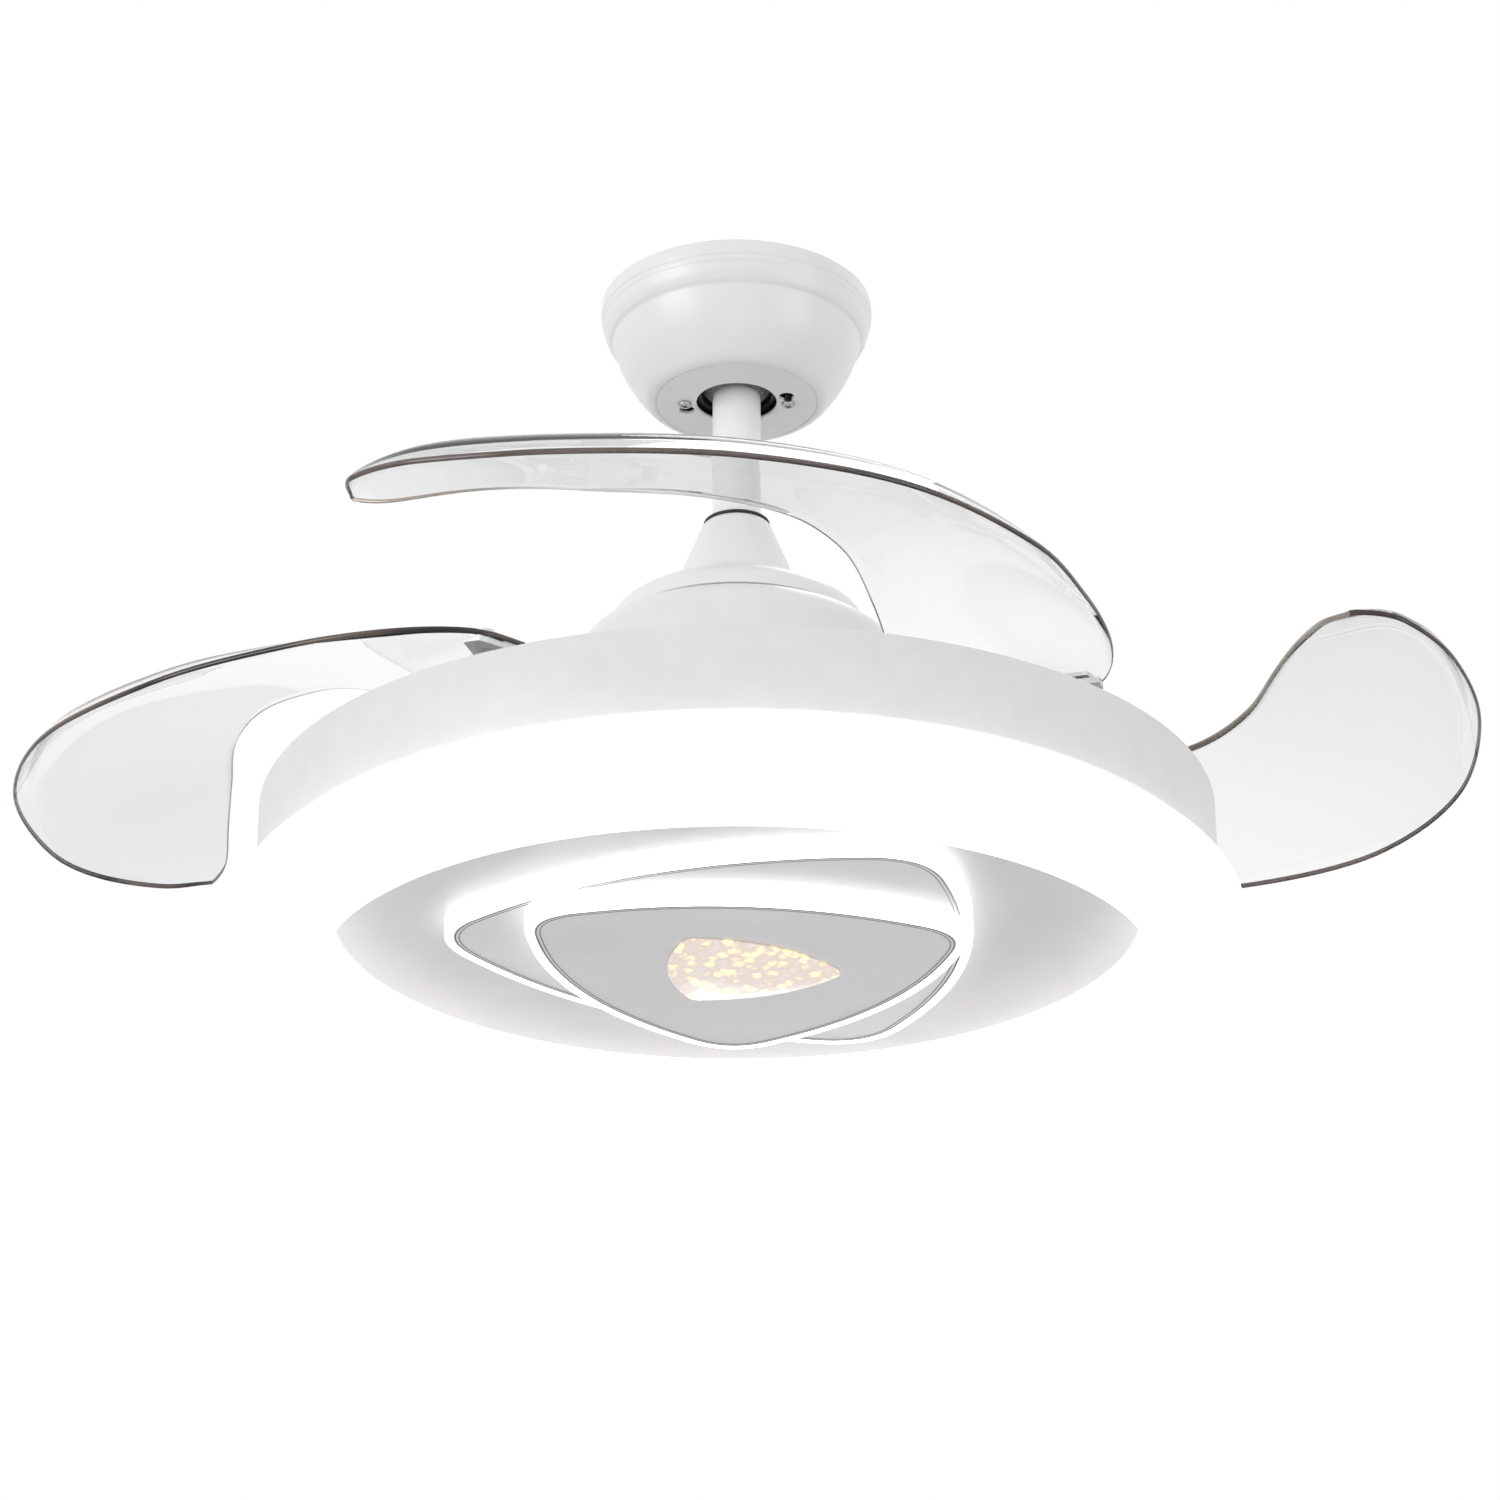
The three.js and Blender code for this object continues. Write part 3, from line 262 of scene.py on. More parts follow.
def crystal_material():
    """Bubbled resin over warm light: yellow flakes on a pinkish grey ground."""
    material, tree, shader = new_material("crystal")
    flakes = tree.nodes.new("ShaderNodeTexVoronoi")
    flakes.inputs["Scale"].default_value = 150.0
    flakes.inputs["Randomness"].default_value = 1.0
    warp = tree.nodes.new("ShaderNodeMapping")
    warp.inputs["Scale"].default_value = (1.0, 0.62, 1.0)
    warp.inputs["Rotation"].default_value = (0.0, 0.0, 0.5)
    wire(tree, position(tree), warp.inputs["Vector"])
    jitter = tree.nodes.new("ShaderNodeMixRGB")
    jitter.blend_type = "ADD"
    jitter.inputs["Fac"].default_value = 0.006
    wire(tree, warp.outputs["Vector"], jitter.inputs["Color1"])
    speckle = tree.nodes.new("ShaderNodeTexNoise")
    speckle.inputs["Scale"].default_value = 260.0
    wire(tree, position(tree), speckle.inputs["Vector"])
    wire(tree, speckle.outputs["Color"], jitter.inputs["Color2"])
    wire(tree, jitter.outputs["Color"], flakes.inputs["Vector"])
    shade = ramp(tree, flakes.outputs["Distance"], [
        (0.0, (1.0, 0.93, 0.62)), (0.28, (1.0, 0.88, 0.50)), (0.40, (0.74, 0.62, 0.47)),
        (0.55, (0.60, 0.51, 0.45)), (1.0, (0.68, 0.60, 0.55)),
    ])
    wire(tree, shade, shader.inputs["Emission Color"])
    wire(tree, shade, shader.inputs["Base Color"])
    shader.inputs["Emission Strength"].default_value = 0.55
    wire(tree, spread(tree, flakes.outputs["Distance"], 0.0, 1.0, 0.1, 0.3), shader.inputs["Roughness"])
    bump(tree, shader, flakes.outputs["Distance"], 0.5, 0.0004)
    shader.inputs["Coat Weight"].default_value = 0.6
    return material


CRYSTAL = crystal_material()


def blade_face_material():
    """Clear acrylic sheet with a painted reflection: greys along it stand for the studio's reflections,
    darker towards its tip. The blade's vertices carry the share along it.
    """
    material, tree, shader = new_material("clear_blade")
    along = tree.nodes.new("ShaderNodeAttribute")
    along.attribute_name = "along"
    # painted reflection: greys along the sheet that stand for the studio's reflections in it
    painted_reflection = ramp(tree, along.outputs["Fac"], [
        (0.0, (0.94, 0.94, 0.945)), (0.2, (0.97, 0.97, 0.97)), (0.45, (0.92, 0.92, 0.925)),
        (0.7, (0.84, 0.84, 0.845)), (0.85, (0.82, 0.825, 0.83)), (1.0, (0.86, 0.865, 0.87)),
    ])
    wire(tree, painted_reflection, shader.inputs["Base Color"])
    wire(tree, spread(tree, noise(tree, 30.0), 0.3, 0.7, 0.0, 0.02), shader.inputs["Roughness"])
    shader.inputs["IOR"].default_value = 1.3
    shader.inputs["Transmission Weight"].default_value = 1.0
    return material


def blade_edge_material(name, dark, light, clear):
    """A cut edge, where the light that runs through the sheet comes out brown."""
    material, tree, shader = new_material(name)
    along = tree.nodes.new("ShaderNodeMapping")
    along.inputs["Scale"].default_value = (1.0, 1.0, 6.0)
    wire(tree, position(tree), along.inputs["Vector"])
    field = noise(tree, 16.0, 4.0, vector=along.outputs["Vector"])
    wire(tree, ramp(tree, field, [(0.35, dark), (0.65, light)]), shader.inputs["Base Color"])
    wire(tree, spread(tree, field, 0.3, 0.7, 0.08, 0.2), shader.inputs["Roughness"])
    shader.inputs["IOR"].default_value = 1.49
    shader.inputs["Transmission Weight"].default_value = clear
    return material


BLADE_FACE = blade_face_material()
OUTER_RIM = blade_edge_material("blade_outer_rim", (0.02, 0.016, 0.016), (0.13, 0.095, 0.085), 0.2)
INNER_RIM = blade_edge_material("blade_inner_rim", (0.26, 0.215, 0.18), (0.50, 0.43, 0.36), 0.4)

# solids that show as they are in part.mjs
NODE_FINISH = {
    "ceiling_bracket": ZINC_PAINTED_SHADE, "remote_receiver": WHITE_PLASTIC, "ball_pin": STEEL, "motor_yoke": CAST,
    "yoke_bolt": STEEL, "motor_shaft": STEEL, "upper_bearing": STEEL, "lower_bearing": STEEL,
    "stator": COPPER, "light_mount_plate": ZINC, "shaft_nut": STEEL, "led_ring_board": BOARD,
    "led_driver": BOARD, "blade_carrier": ZINC, "sync_gear": ZINC,
}
BLADES = range(1, 5)
for number in BLADES:
    NODE_FINISH[f"pivot_post_{number}"] = STEEL
    NODE_FINISH[f"return_spring_{number}"] = STEEL
    NODE_FINISH[f"blade_holder_{number}"] = ZINC
    NODE_FINISH[f"blade_clamp_{number}"] = ZINC


for name, material in NODE_FINISH.items():
    for place in NODES[name].material_slots:
        place.material = material


# ---------------------------------------------------------------- mesh helpers
SHARP = 32.0  # degrees past which an edge shows


def shade_round(mesh, angle):
    for face in mesh.polygons:
        face.use_smooth = True
    mesh.set_sharp_from_angle(angle=math.radians(angle))


def finish_mesh(name, mesh_builder, materials, angle=SHARP):
    bmesh.ops.recalc_face_normals(mesh_builder, faces=mesh_builder.faces)
    mesh = bpy.data.meshes.new(name)
    mesh_builder.to_mesh(mesh)
    mesh_builder.free()
    for material in materials:
        mesh.materials.append(material)
    shade_round(mesh, angle)
    made = bpy.data.objects.new(name, mesh)
    scene.collection.objects.link(made)
    return made


def settle(piece, body, slot, *nodes):
    """Says what body the piece moves with and which solids it stands for, and hides those solids. The slot,
    what stuff it is, is not used.
    """
    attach(piece, body)
    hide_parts(*nodes)
    return piece


def hermite(p0, p1, p2, p3, t):
    """The point at share t between p1 and p2 of a smooth curve through all four."""
    v0, v1 = (p2 - p0) * 0.5, (p3 - p1) * 0.5
    return (2 * p1 - 2 * p2 + v0 + v1) * t ** 3 + (3 * p2 - 3 * p1 - 2 * v0 - v1) * t ** 2 + v0 * t + p1


def bend(start, tip, end, t):
    """The point at share t of an arc from start to end that leans towards tip."""
    return start * (1 - t) ** 2 + tip * 2 * t * (1 - t) + end * t ** 2


def rounded(profile, steps=5):
    """Replaces each corner that has a third number by an arc of about that radius. The loop is closed."""
    done = []
    count = len(profile)
    for i, corner in enumerate(profile):
        if len(corner) == 2:
            done.append(corner)
            continue
        here = Vector(corner[:2])
        before = Vector(profile[i - 1][:2]) - here
        after = Vector(profile[(i + 1) % count][:2]) - here
        reach = min(corner[2], 0.45 * before.length, 0.45 * after.length)
        start = here + before.normalized() * reach
        end = here + after.normalized() * reach
        for k in range(steps + 1):
            done.append(tuple(bend(start, here, end, k / steps)))
    return done


def curve_through(points, steps=6):
    """A smooth curve through the points, with so many steps between each two."""
    done = []
    for i in range(len(points) - 1):
        p0 = Vector(points[max(i - 1, 0)])
        p1 = Vector(points[i])
        p2 = Vector(points[i + 1])
        p3 = Vector(points[min(i + 2, len(points) - 1)])
        for k in range(steps):
            done.append(tuple(hermite(p0, p1, p2, p3, k / steps)))
    done.append(tuple(points[-1]))
    return done


def lathe(name, profile, material, segments, angle=SHARP, ribs=None):
    """Turns a closed profile of (radius, height) in mm round Z."""
    builder = bmesh.new()
    loops = []
    for radius, height in profile:
        if radius <= 0:
            loops.append([builder.verts.new((0, 0, height * MM))] * segments)
            continue
        loop = []
        for k in range(segments):
            turn = 2 * math.pi * k / segments
            reach = radius + (ribs(radius, turn) if ribs else 0.0)
            at = (reach * math.cos(turn), reach * math.sin(turn), height)
            loop.append(builder.verts.new([part * MM for part in at]))
        loops.append(loop)
    for i, loop in enumerate(loops):
        following = loops[(i + 1) % len(loops)]
        for k in range(segments):
            corners = []
            for vert in (loop[k], loop[(k + 1) % segments], following[(k + 1) % segments], following[k]):
                if vert not in corners:
                    corners.append(vert)
            if len(corners) > 2:
                builder.faces.new(corners)
    return finish_mesh(name, builder, [material], angle)


def prism(name, outline, low, high, material, hole=None, bevel=0.0, angle=SHARP):
    """An outline in mm from height low to high, with bevelled edges and perhaps a hole of as many points."""
    builder = bmesh.new()
    part = bevel * 0.3
    if bevel or hole is not None:
        layers = [
            (inset(outline, bevel), low), (inset(outline, part), low + part), (outline, low + bevel),
            (outline, high - bevel), (inset(outline, part), high - part), (inset(outline, bevel), high),
        ]
    else:
        layers = [(outline, low), (outline, high)]
    if hole is not None:
        layers += [
            (inset(hole, -bevel), high), (inset(hole, -part), high - part), (hole, high - bevel),
            (hole, low + bevel), (inset(hole, -part), low + part), (inset(hole, -bevel), low),
        ]
    rings = [[builder.verts.new((x * MM, y * MM, z * MM)) for x, y in points] for points, z in layers]
    if hole is None:
        pairs = list(zip(rings, rings[1:]))
    else:
        pairs = list(zip(rings, rings[1:] + rings[:1]))
    count = len(outline)
    for below, above in pairs:
        for k in range(count):
            following = (k + 1) % count
            builder.faces.new((below[k], below[following], above[following], above[k]))
    if hole is None:
        builder.faces.new(rings[0])
        builder.faces.new(rings[-1])
    return finish_mesh(name, builder, [material], angle)


def inset(outline, width):
    """Moves a counterclockwise outline inwards by width."""
    moved = []
    count = len(outline)
    for i in range(count):
        ahead = Vector(outline[(i + 1) % count]) - Vector(outline[i - 1])
        ahead.normalize()
        moved.append((outline[i][0] - ahead.y * width, outline[i][1] + ahead.x * width))
    return moved


def cut_out(piece, cutters):
    for cutter in cutters:
        modifier = piece.modifiers.new("cut", "BOOLEAN")
        modifier.operation = "DIFFERENCE"
        modifier.solver = "EXACT"
        modifier.object = cutter
        bpy.context.view_layer.update()
        shaped = bpy.data.meshes.new_from_object(piece.evaluated_get(bpy.context.evaluated_depsgraph_get()))
        piece.modifiers.clear()
        piece.data = shaped
        bpy.data.objects.remove(cutter)
    shade_round(piece.data, SHARP)


# ---------------------------------------------------------------- ceiling set
def disc(x, y, radius, count=24):
    turns = [2 * math.pi * k / count for k in range(count)]
    return [(x + radius * math.cos(turn), y + radius * math.sin(turn)) for turn in turns]


def keyhole(side):
    """Cutters for a round entry and the slot that leads back to the screw's shank."""
    low, high = CANOPY_FLOOR - 3, CANOPY_FLOOR + 4
    screw_turn = 0.0 if side > 0 else math.pi
    entry_turn = screw_turn - KEYHOLE_TRAVEL / SCREW_RADIUS
    middle = (screw_turn + entry_turn) / 2
    half_long, half_wide = KEYHOLE_TRAVEL / 2, SLOT_HALF
    along = Vector((-math.sin(middle), math.cos(middle)))
    across = Vector((math.cos(middle), math.sin(middle)))
    corners = []
    for a, b in ((-1, -1), (-1, 1), (1, 1), (1, -1)):
        corners.append(tuple(across * (SCREW_RADIUS + b * half_wide) + along * (a * half_long)))
    spots = [(screw_turn, SLOT_HALF), (entry_turn, ENTRY_RADIUS)]
    rounds = [
        disc(SCREW_RADIUS * math.cos(turn), SCREW_RADIUS * math.sin(turn), radius) for turn, radius in spots
    ]
    return [prism("cutter", outline, low, high, PAINT) for outline in (*rounds, corners)]


def canopy():
    """Bowl with a stepped rim and two keyholes, painted outside; its inner faces carry painted shade,
    near-black for the dark inside the bowl.
    """
    outer = [(72.3, 0.0)]
    outer += curve_through([(73.2, -0.6), (73.8, -2.4), (73.8, -7.8), (73.6, -8.8)], 3)
    outer += [(73.25, -9.2), (73.25, -9.5)]
    outer += curve_through([(73.4, -9.9), (73.2, -11.6), (72.9, -12.5)], 3)
    outer += [(72.55, -12.9), (72.5, -13.2)]
    outer += curve_through([(72.4, -13.7), (71.4, -17.5), (69.6, -21.0), (68.5, -22.3), (67.7, -23.0)], 5)
    outer += curve_through([
        (67.2, -24.0), (65.6, -29.0), (62.9, -36.0), (58.8, -44.0), (53.4, -52.0), (49.6, -56.6),
        (47.0, -58.6), (44.9, -59.3),
    ], 5)
    # a fine groove round the floor
    outer += [(44.3, -59.4), (43.9, -58.8), (43.5, -58.8), (43.1, CANOPY_FLOOR)]
    outer += [(MOUTH_RADIUS + 0.8, CANOPY_FLOOR), (MOUTH_RADIUS, CANOPY_FLOOR + 0.5)]
    inner = [
        (MOUTH_RADIUS, -57.8), (44.0, -57.8), (52.0, -51.0), (57.2, -43.4), (64.6, -28.0), (68.0, -20.0),
        (70.6, 0.0),
    ]
    segments = 160
    piece = lathe("canopy_shell", outer + inner, PAINT, segments, 28.0)
    piece.data.materials.append(CANOPY_INSIDE_PAINTED_SHADE)
    for face in piece.data.polygons:
        if face.index // segments >= len(outer):
            face.material_index = 1
    cut_out(piece, keyhole(-1) + keyhole(1))
    return settle(piece, "ceiling_set", "white_paint", "canopy")


def move_across(piece, x):
    for vert in piece.data.vertices:
        vert.co.x += x * MM


def pan_head(name, x, top, radius, height):
    """Cross-recess screw head that looks down, seated at height top."""
    shares = [
        (0.0, 0.0), (0.55, 0.0), (0.98, 0.0), (1.0, 0.25), (0.94, 0.62), (0.74, 0.9), (0.4, 1.0), (0.0, 1.0),
    ]
    head = lathe(name, [(radius * out, top - height * down) for out, down in shares], STEEL, 40, 40.0)
    move_across(head, x)
    cutters = []
    half_long, half_wide = radius * 0.55, radius * 0.13
    for turn in (0.4, 0.4 + math.pi / 2):
        corners = []
        for side_a, side_b in ((-1, -1), (1, -1), (1, 1), (-1, 1)):
            a, b = side_a * half_long, side_b * half_wide
            corner = (x + a * math.cos(turn) - b * math.sin(turn), a * math.sin(turn) + b * math.cos(turn))
            corners.append(corner)
        cutters.append(prism("cutter", corners, top - height - 1, top - 0.42 * height, STEEL))
    cut_out(head, cutters)
    return head


def canopy_screws():
    radius, low, high = 1.8, CANOPY_FLOOR - 0.4, -46.5
    for number, side in ((1, -1), (2, 1)):
        head = pan_head(f"canopy_screw_head_{number}", side * SCREW_RADIUS, CANOPY_FLOOR - 0.3, 3.6, 2.0)
        profile = rounded([(0.0, low), (radius, low), (radius, high, 0.4), (0.0, high)])
        shank = lathe(f"canopy_screw_shank_{number}", profile, STEEL, 24)
        move_across(shank, side * SCREW_RADIUS)
        settle(head, "ceiling_set", "zinc_plate", f"canopy_screw_{number}")
        settle(shank, "ceiling_set", "zinc_plate", f"canopy_screw_{number}")


def hanger_ball():
    """Ball with fine upright ribs all round, as moulded."""
    steps = 24
    low = math.asin((ROD_RADIUS + ROD_GAP) / BALL_RADIUS)
    top = math.pi - math.acos((BALL_TOP - BALL_Z) / BALL_RADIUS)
    profile = []
    for k in range(steps + 1):
        angle = low + (top - low) * k / steps
        profile.append((BALL_RADIUS * math.sin(angle), BALL_Z - BALL_RADIUS * math.cos(angle)))
    profile.append((ROD_RADIUS + ROD_GAP, BALL_TOP))

    def ribs(radius, turn):
        if radius < ROD_RADIUS + 0.4:
            return 0.0
        phase = (turn * RIB_COUNT / (2 * math.pi)) % 1.0
        return -RIB_DEPTH if phase > 0.6 else 0.0

    piece = lathe("ball_ribbed", profile, GREY_PLASTIC, RIB_COUNT * 8, 25.0, ribs)
    return settle(piece, "hanging_frame", "grey_plastic", "hanger_ball")


# ---------------------------------------------------------------- rod, coupling, motor cover
def rod():
    foot, head = -172.0, -20.0
    piece = lathe("down_rod_skin", rounded([
        (ROD_BORE, foot), (ROD_RADIUS, foot, 0.4), (ROD_RADIUS, head, 0.6), (ROD_BORE, head),
    ]), ROD_PAINT_PAINTED_LIGHT, 96)
    return settle(piece, "hanging_frame", "white_paint", "down_rod")


def coupling_cover():
    """Cone and dome, lower and wider than the solid, as the photo has them."""
    inside = ROD_RADIUS + ROD_GAP
    outer = rounded([(inside, COVER_TOP), (18.1, COVER_TOP, 0.8)])
    outer += curve_through([
        (18.5, COVER_TOP - 1.2), (24.0, -149.6), (30.2, -165.0), (33.0, -171.6), (36.4, -175.2),
    ], 5)
    outer += curve_through([
        (42.0, -177.8), (52.0, -182.2), (60.0, -186.4), (65.6, -191.0), (68.2, -196.0),
    ], 5)
    outer += [(68.6, -200.4), (67.0, -200.4)]
    inner = curve_through([(66.0, -196.0), (58.0, -188.0), (46.0, -182.0), (34.0, -176.6)], 4)
    inner += [(17.0, -138.0), (inside, -136.2)]
    piece = lathe("coupling_cover_skin", outer + inner, PAINT, 160, 30.0)
    return settle(piece, "hanging_frame", "white_paint", "coupling_cover")


def seal_ring():
    inside, outside, low, high = ROD_RADIUS + ROD_GAP, 17.7, COVER_TOP + 0.3, COVER_TOP + 2.2
    piece = lathe("seal_ring_skin", rounded([
        (inside, low), (outside, low, 0.6), (outside, high, 0.8), (inside, high, 0.3),
    ]), RUBBER, 96)
    return settle(piece, "hanging_frame", "black_rubber", "cover_seal_ring")


def motor_cover():
    """Wider than the solid, as the photo has it; its wall hides the gap over the rotor."""
    wall = 86.0
    profile = [(SHAFT_HOLE, MOTOR_TOP), (46.0, MOTOR_TOP), (60.0, -192.0), (66.4, -201.0)]
    profile += curve_through([
        (69.4, -202.2), (76.0, -205.0), (81.6, -209.0), (85.0, -214.6), (wall, -221.0),
    ], 5)
    profile += [(wall, MOTOR_BOTTOM + 0.4), (wall - 0.4, MOTOR_BOTTOM), (wall - CAST_SHEET, MOTOR_BOTTOM)]
    profile += [(wall - CAST_SHEET, -221.0), (80.0, -210.4), (66.0, -203.0), (59.0, -194.0)]
    profile += [(45.4, MOTOR_TOP - CAST_SHEET), (SHAFT_HOLE, MOTOR_TOP - CAST_SHEET)]
    piece = lathe("motor_cover_skin", profile, PAINT, 160, 30.0)
    return settle(piece, "hanging_frame", "white_paint", "motor_top_cover")


def rotor_skin():
    """The turning shell, with a rounder wall than the solid's 26 sides."""
    low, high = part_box("rotor_shell")
    bearing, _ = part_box("upper_bearing")
    bottom, top, seat = low[2] / MM, high[2] / MM, bearing[2] / MM
    bore, sleeve, wall, inside, outside = 17.8, 20.8, 4.0, 80.0, 83.9
    profile = [(bore, seat), (sleeve, seat), (sleeve, top - wall)]
    profile += rounded([(inside - 3.0, top - wall), (inside, top - wall, 2.0), (inside, bottom)])[1:]
    profile += rounded([(outside, bottom), (outside, top, 5.0), (bore, top)])
    shell = lathe("rotor_skin", profile, CAST, 128, 30.0)
    return settle(shell, "rotor", "cast_aluminium", "rotor_shell")


# ---------------------------------------------------------------- lamp housing
def drum():
    wall, lip = 245.4, 240.4
    inside = wall - PRESSED
    profile = [(SHAFT_HOLE, DRUM_PLATE - PRESSED), (inside, DRUM_PLATE - PRESSED)]
    profile += [(inside, DRUM_BOTTOM + PRESSED), (lip, DRUM_BOTTOM + PRESSED)]
    profile += rounded([
        (lip, DRUM_BOTTOM), (wall, DRUM_BOTTOM, 1.2), (wall, DRUM_TOP, 1.2), (wall - 2.0, DRUM_TOP, 0.8),
        (wall - 2.8, DRUM_PLATE, 0.8),
    ])[1:]
    profile += [(SHAFT_HOLE, DRUM_PLATE)]
    piece = lathe("drum_skin", profile, DRUM_PAINT_PAINTED_SHADE, 256, 30.0)
    return settle(piece, "hanging_frame", "white_paint", "drum_housing")


def diffuser():
    """Opal channel: outside as in part.mjs, flat sole, sloping inner wall."""
    top, sole, radius, wall = DIFFUSER_TOP, DIFFUSER_SOLE, DIFFUSER_RADIUS, 2.4
    skin = curve_through([
        (radius - 11.5, top), (radius - 1.5, top - 9), (radius, top - 16), (radius - 6.5, top - 31),
        (radius - 22, sole + 1.4), (radius - 38, sole),
    ], 8)
    skin += rounded([skin[-1], (DIFFUSER_INNER + 4, sole + 0.6, 6.0), (DIFFUSER_INNER, top - 9)])[1:-1]
    skin += [(DIFFUSER_INNER, top - 9)]
    offset = []
    for i, point in enumerate(skin):
        before = Vector(skin[max(i - 1, 0)])
        after = Vector(skin[min(i + 1, len(skin) - 1)])
        ahead = (after - before).normalized()
        offset.append((point[0] + ahead.y * wall, point[1] - ahead.x * wall))
    offset[0] = (skin[0][0] - wall, top)
    offset[-1] = (skin[-1][0] + wall, skin[-1][1])
    piece = lathe("diffuser_skin", skin + offset[::-1], DIFFUSER, 256, 40.0)
    return settle(piece, "hanging_frame", "lit_diffuser", "diffuser_ring")


def base_plate():
    wall, flange, lift = 206.6, 243.6, DRUM_BOTTOM + 1.8
    profile = rounded([
        (0.0, BASE_PLATE), (wall, BASE_PLATE, 1.5), (wall, lift, 1.0), (flange, lift),
        (flange, lift + PRESSED), (wall - PRESSED, lift + PRESSED), (wall - PRESSED, BASE_PLATE + PRESSED),
    ])
    profile += [(0.0, BASE_PLATE + PRESSED)]
    piece = lathe("base_plate_skin", profile, PLATE_PAINT_PAINTED_SHADE, 256, 30.0)
    return settle(piece, "hanging_frame", "white_paint", "base_plate")


# ---------------------------------------------------------------- lamp triangles
def bulged_triangle(corners, corner_share=0.1, side_steps=24, corner_steps=10):
    """Outline with sides that bow out and round corners, from three (reach, degrees)."""
    bulge = 0.13
    tips = []
    for reach, degrees in corners:
        turn = math.radians(degrees)
        tips.append(Vector((reach * math.cos(turn), reach * math.sin(turn))))
    centre = (tips[0] + tips[1] + tips[2]) / 3

    def side(i, share):
        start, end = tips[i % 3], tips[(i + 1) % 3]
        outwards = ((start + end) / 2 - centre).normalized()
        return start.lerp(end, share) + outwards * (end - start).length * bulge * 4 * share * (1 - share)

    outline = []
    for i in range(3):
        for k in range(side_steps + 1):
            outline.append(side(i, corner_share + (1 - 2 * corner_share) * k / side_steps))
        start, tip, end = side(i, 1 - corner_share), tips[(i + 1) % 3], side(i + 1, corner_share)
        for k in range(1, corner_steps):
            outline.append(bend(start, tip, end, k / corner_steps))
    return [tuple(point) for point in outline]


UPPER = [(158, -174), (156, -53), (170, 65)]
LOWER = [(128, -146), (127, -22), (132, 92)]
GLASS = [(50, -120), (54, 6), (50, 118)]
RIM_WIDTH = 4.2
FACE_LIFT = 0.4  # of a face above its rim's lower edge
FACE_HEIGHT = 3.0
LINES = ((0.65, 0.75), (2.8, 0.5))  # from the face's edge, width


def lamp_layer(name, corners, top, bottom):
    outline = bulged_triangle(corners)
    rim = prism(f"{name}_rim_glow", outline, bottom, top, RIM_GLOW, inset(outline, RIM_WIDTH), 0.7)
    settle(rim, "hanging_frame", "lit_diffuser", f"{name}_lamp_rim")
    face_outline = inset(outline, RIM_WIDTH + 0.2)
    low = bottom + FACE_LIFT
    face = prism(f"{name}_face_skin", face_outline, low, low + FACE_HEIGHT, LAMP_GREY, bevel=0.5)
    settle(face, "hanging_frame", "lamp_grey", f"{name}_lamp_face")
    for number, (at, width) in enumerate(LINES, 1):
        outer = inset(face_outline, at)
        inner = inset(outer, width)
        line = prism(f"{name}_line_{number}", outer, low - 0.12, low + 0.2, LINE_GREY, inner, 0.02)
        settle(line, "hanging_frame", "lamp_grey", f"{name}_lamp_face")


def crystal():
    outline = bulged_triangle(GLASS, 0.05)
    face = LOWER_RIM[1] + FACE_LIFT
    panel = prism("crystal_skin", outline, face - 2.0, face - 0.3, CRYSTAL, bevel=0.5)
    return settle(panel, "hanging_frame", "crystal", "crystal_panel")


# ---------------------------------------------------------------- blades
BLADE_LENGTH = 370.0
OUTER_SHARES = [
    (0.07, 0), (0.141, -0.032), (0.197, -0.124), (0.235, -0.268), (0.262, -0.459), (0.224, -0.676),
    (0.089, -0.854), (-0.108, -0.968), (-0.27, -1.003), (-0.386, -0.981), (-0.426, -0.931),
]
INNER_SHARES = [
    (-0.054, -0.057), (-0.076, -0.116), (-0.081, -0.195), (-0.059, -0.289), (-0.038, -0.405),
    (-0.046, -0.522), (-0.114, -0.63), (-0.222, -0.724), (-0.327, -0.814), (-0.4, -0.876), (-0.428, -0.923),
]
OUTER_EDGE = [(x * BLADE_LENGTH, y * BLADE_LENGTH) for x, y in OUTER_SHARES]
INNER_EDGE = [(x * BLADE_LENGTH, y * BLADE_LENGTH) for x, y in INNER_SHARES]
BLADE_RISE, BLADE_FALL, BLADE_DIP, BLADE_LIFT = 30.0, 4.0, 9.0, 10.0
TIP_RISE, BLADE_ARCH = 12.0, 12.0
FLAT_ROOT, CREST_POWER = 0.14, 0.6


def spline_at(points, t):
    place = (len(points) - 1) * t
    i = min(int(place), len(points) - 1)
    w = place - i
    p0 = Vector(points[max(i - 1, 0)])
    p1 = Vector(points[i])
    p2 = Vector(points[min(i + 1, len(points) - 1)])
    p3 = Vector(points[min(i + 2, len(points) - 1)])
    return hermite(p0, p1, p2, p3, w)


def smooth(x, low, high):
    t = min(max((x - low) / (high - low), 0.0), 1.0)
    return t * t * (3 - 2 * t)


def blade_point(along, across):
    """The sheet's middle surface, as in part.mjs."""
    flat = spline_at(OUTER_EDGE, along).lerp(spline_at(INNER_EDGE, along), across)
    end = smooth(along, 0.72, 1)
    outer = BLADE_LIFT * smooth(along, 0.55, 0.9) - BLADE_DIP * smooth(along, 0.26, 0.5)
    inner = BLADE_RISE * smooth(along, FLAT_ROOT, 0.42) - BLADE_FALL * smooth(along, 0.5, 1)
    arch = BLADE_ARCH * smooth(along, FLAT_ROOT, 0.5) * (1 - smooth(along, 0.75, 1))
    chord = outer * (1 - across) + inner * across
    height = BLADE_ROOT + chord * (1 - end) + TIP_RISE * end
    return Vector((flat.x, flat.y, height + arch * math.sin(math.pi * across ** CREST_POWER)))


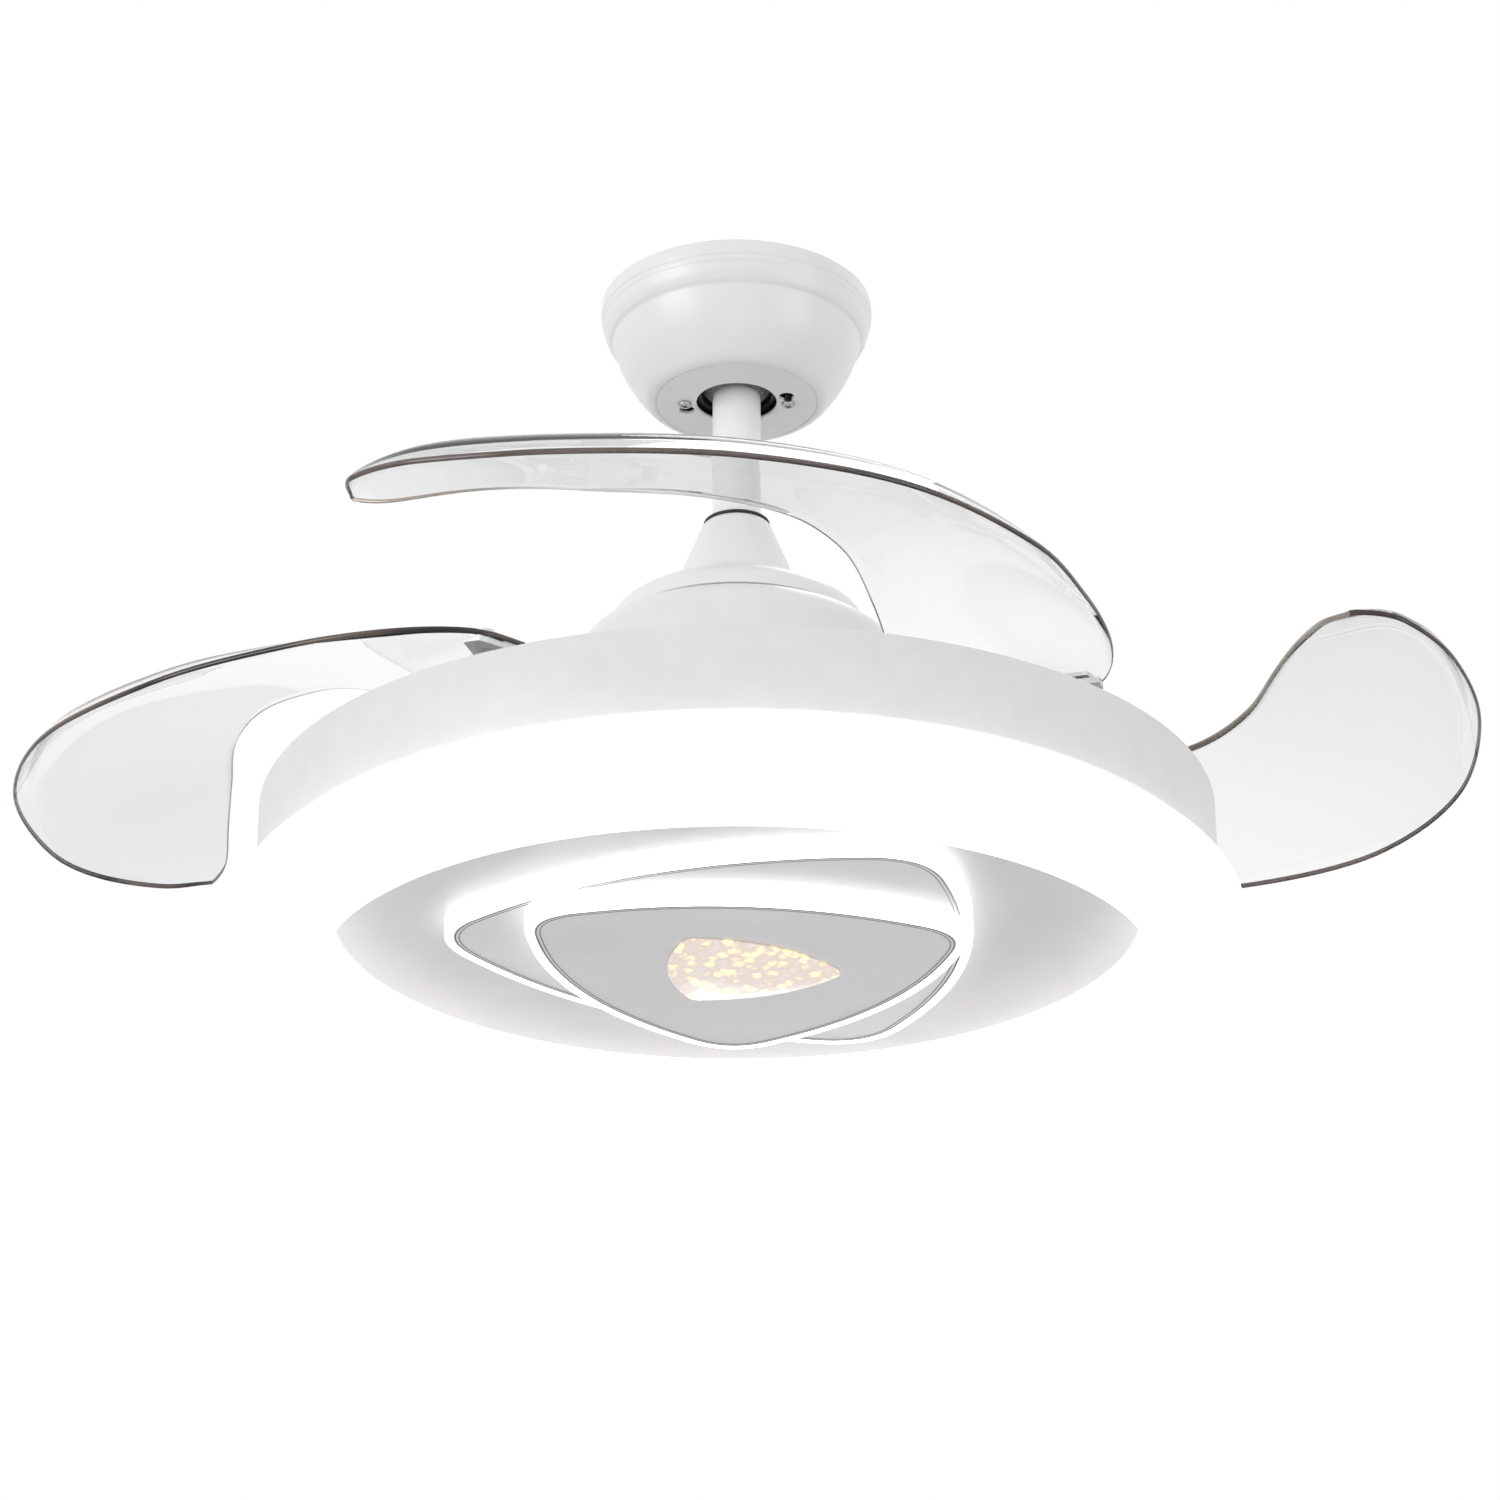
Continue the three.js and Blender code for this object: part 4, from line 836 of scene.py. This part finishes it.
def blade(number):
    """The solid's sheet with a finer grid and a rounded rim."""
    rows, columns, arc_steps = 120, 20, 5
    swell = 0.9  # of the rim past the sheet's edge
    half = Vector((0, 0, SHEET / 2))
    turn = math.radians(FIRST_PIVOT + 360 / len(BLADES) * (number - 1))
    builder = bmesh.new()
    layer = builder.verts.layers.float.new("along")

    def place(point, along):
        x, y = PIVOT_RADIUS + point.x, point.y
        turned = (x * math.cos(turn) - y * math.sin(turn), x * math.sin(turn) + y * math.cos(turn), point.z)
        vert = builder.verts.new([part * MM for part in turned])
        vert[layer] = along
        return vert

    # rows lie closer together towards the tip
    shares = [math.sin(r / rows * math.pi / 2) ** 1.15 for r in range(rows + 1)]
    middle = [[(blade_point(share, c / columns), share) for c in range(columns + 1)] for share in shares]
    top = [[place(point + half, along) for point, along in row] for row in middle]
    bottom = [[place(point - half, along) for point, along in row] for row in middle]
    for r in range(rows):
        for c in range(columns):
            for grid in (top, bottom):
                builder.faces.new((grid[r][c], grid[r][c + 1], grid[r + 1][c + 1], grid[r + 1][c]))
    border = [(0, c) for c in range(columns)] + [(r, columns) for r in range(rows)]
    border += [(rows, c) for c in range(columns, 0, -1)] + [(r, 0) for r in range(rows, 0, -1)]
    points = [middle[r][c] for r, c in border]
    count = len(border)
    arcs = []
    for i, (r, c) in enumerate(border):
        point, along = points[i]
        ahead = points[(i + 1) % count][0] - points[i - 1][0]
        out = Vector((ahead.y, -ahead.x, 0))
        if out.length > 0:
            out.normalize()
        arc = [top[r][c]]
        for k in range(1, arc_steps):
            angle = math.pi * k / arc_steps
            arc.append(place(point + half * math.cos(angle) + out * swell * math.sin(angle), along))
        arc.append(bottom[r][c])
        arcs.append(arc)
    for i in range(count):
        first, second = arcs[i], arcs[(i + 1) % count]
        for k in range(arc_steps):
            face = builder.faces.new((first[k], second[k], second[k + 1], first[k + 1]))
            face.material_index = 2 if i < columns + rows else 1
    bmesh.ops.remove_doubles(builder, verts=builder.verts, dist=1e-7)
    piece = finish_mesh(f"blade_sheet_{number}", builder, [BLADE_FACE, OUTER_RIM, INNER_RIM], 50.0)
    piece.visible_shadow = False
    return settle(piece, f"blade_arm_{number}", "clear_blade", f"blade_{number}")


# ---------------------------------------------------------------- studio
FLOOR_RADIUS, FLOOR_HEIGHT = 14.0, -2.65
ROOM_LIGHT = 0.70  # on surfaces; the view and what is seen in or through things gets 1


def studio():
    world = bpy.data.worlds.new("studio")
    scene.world = world
    world.use_nodes = True
    tree = world.node_tree
    background = tree.nodes["Background"]
    background.inputs["Color"].default_value = (1.0, 1.0, 1.0, 1.0)
    paths = tree.nodes.new("ShaderNodeLightPath")
    first, second = tree.nodes.new("ShaderNodeMath"), tree.nodes.new("ShaderNodeMath")
    first.operation = second.operation = "MAXIMUM"
    wire(tree, paths.outputs["Is Camera Ray"], first.inputs[0])
    wire(tree, paths.outputs["Is Glossy Ray"], first.inputs[1])
    wire(tree, first.outputs[0], second.inputs[0])
    wire(tree, paths.outputs["Is Transmission Ray"], second.inputs[1])
    wire(tree, spread(tree, second.outputs[0], 0.0, 1.0, ROOM_LIGHT, 1.0), background.inputs["Strength"])

    builder = bmesh.new()
    bmesh.ops.create_circle(builder, cap_ends=True, radius=FLOOR_RADIUS, segments=96)
    floor = finish_mesh("floor", builder, [floor_material()])
    floor.location.z = FLOOR_HEIGHT

    area_light("key", (-2.5, -1.9, 0.0), (0, 0, -0.2), 1.8, 34.0)
    area_light("fill", (2.4, -1.6, -0.6), (0, 0, -0.25), 1.6, 16.0)
    area_light("back", (0.6, 1.7, 2.6), (0, 0, -0.2), 1.6, 14.0)


def floor_material():
    material, tree, shader = new_material("pale_floor")
    shade = ramp(tree, noise(tree, 2.0), [(0.3, (0.86, 0.86, 0.86)), (0.7, (0.88, 0.88, 0.88))])
    wire(tree, shade, shader.inputs["Base Color"])
    shader.inputs["Roughness"].default_value = 0.8
    return material


def area_light(name, at, target, size, energy):
    data = bpy.data.lights.new(name, "AREA")
    data.shape = "DISK"
    data.size = size
    data.energy = energy
    light = bpy.data.objects.new(name, data)
    scene.collection.objects.link(light)
    light.location = at
    light.rotation_euler = (Vector(target) - Vector(at)).to_track_quat("-Z", "Y").to_euler()


# ---------------------------------------------------------------- build
canopy()
canopy_screws()
hanger_ball()
rod()
coupling_cover()
seal_ring()
motor_cover()
rotor_skin()
drum()
diffuser()
base_plate()
lamp_layer("upper", UPPER, *UPPER_RIM)
lamp_layer("lower", LOWER, *LOWER_RIM)
crystal()
for number in BLADES:
    blade(number)
studio()
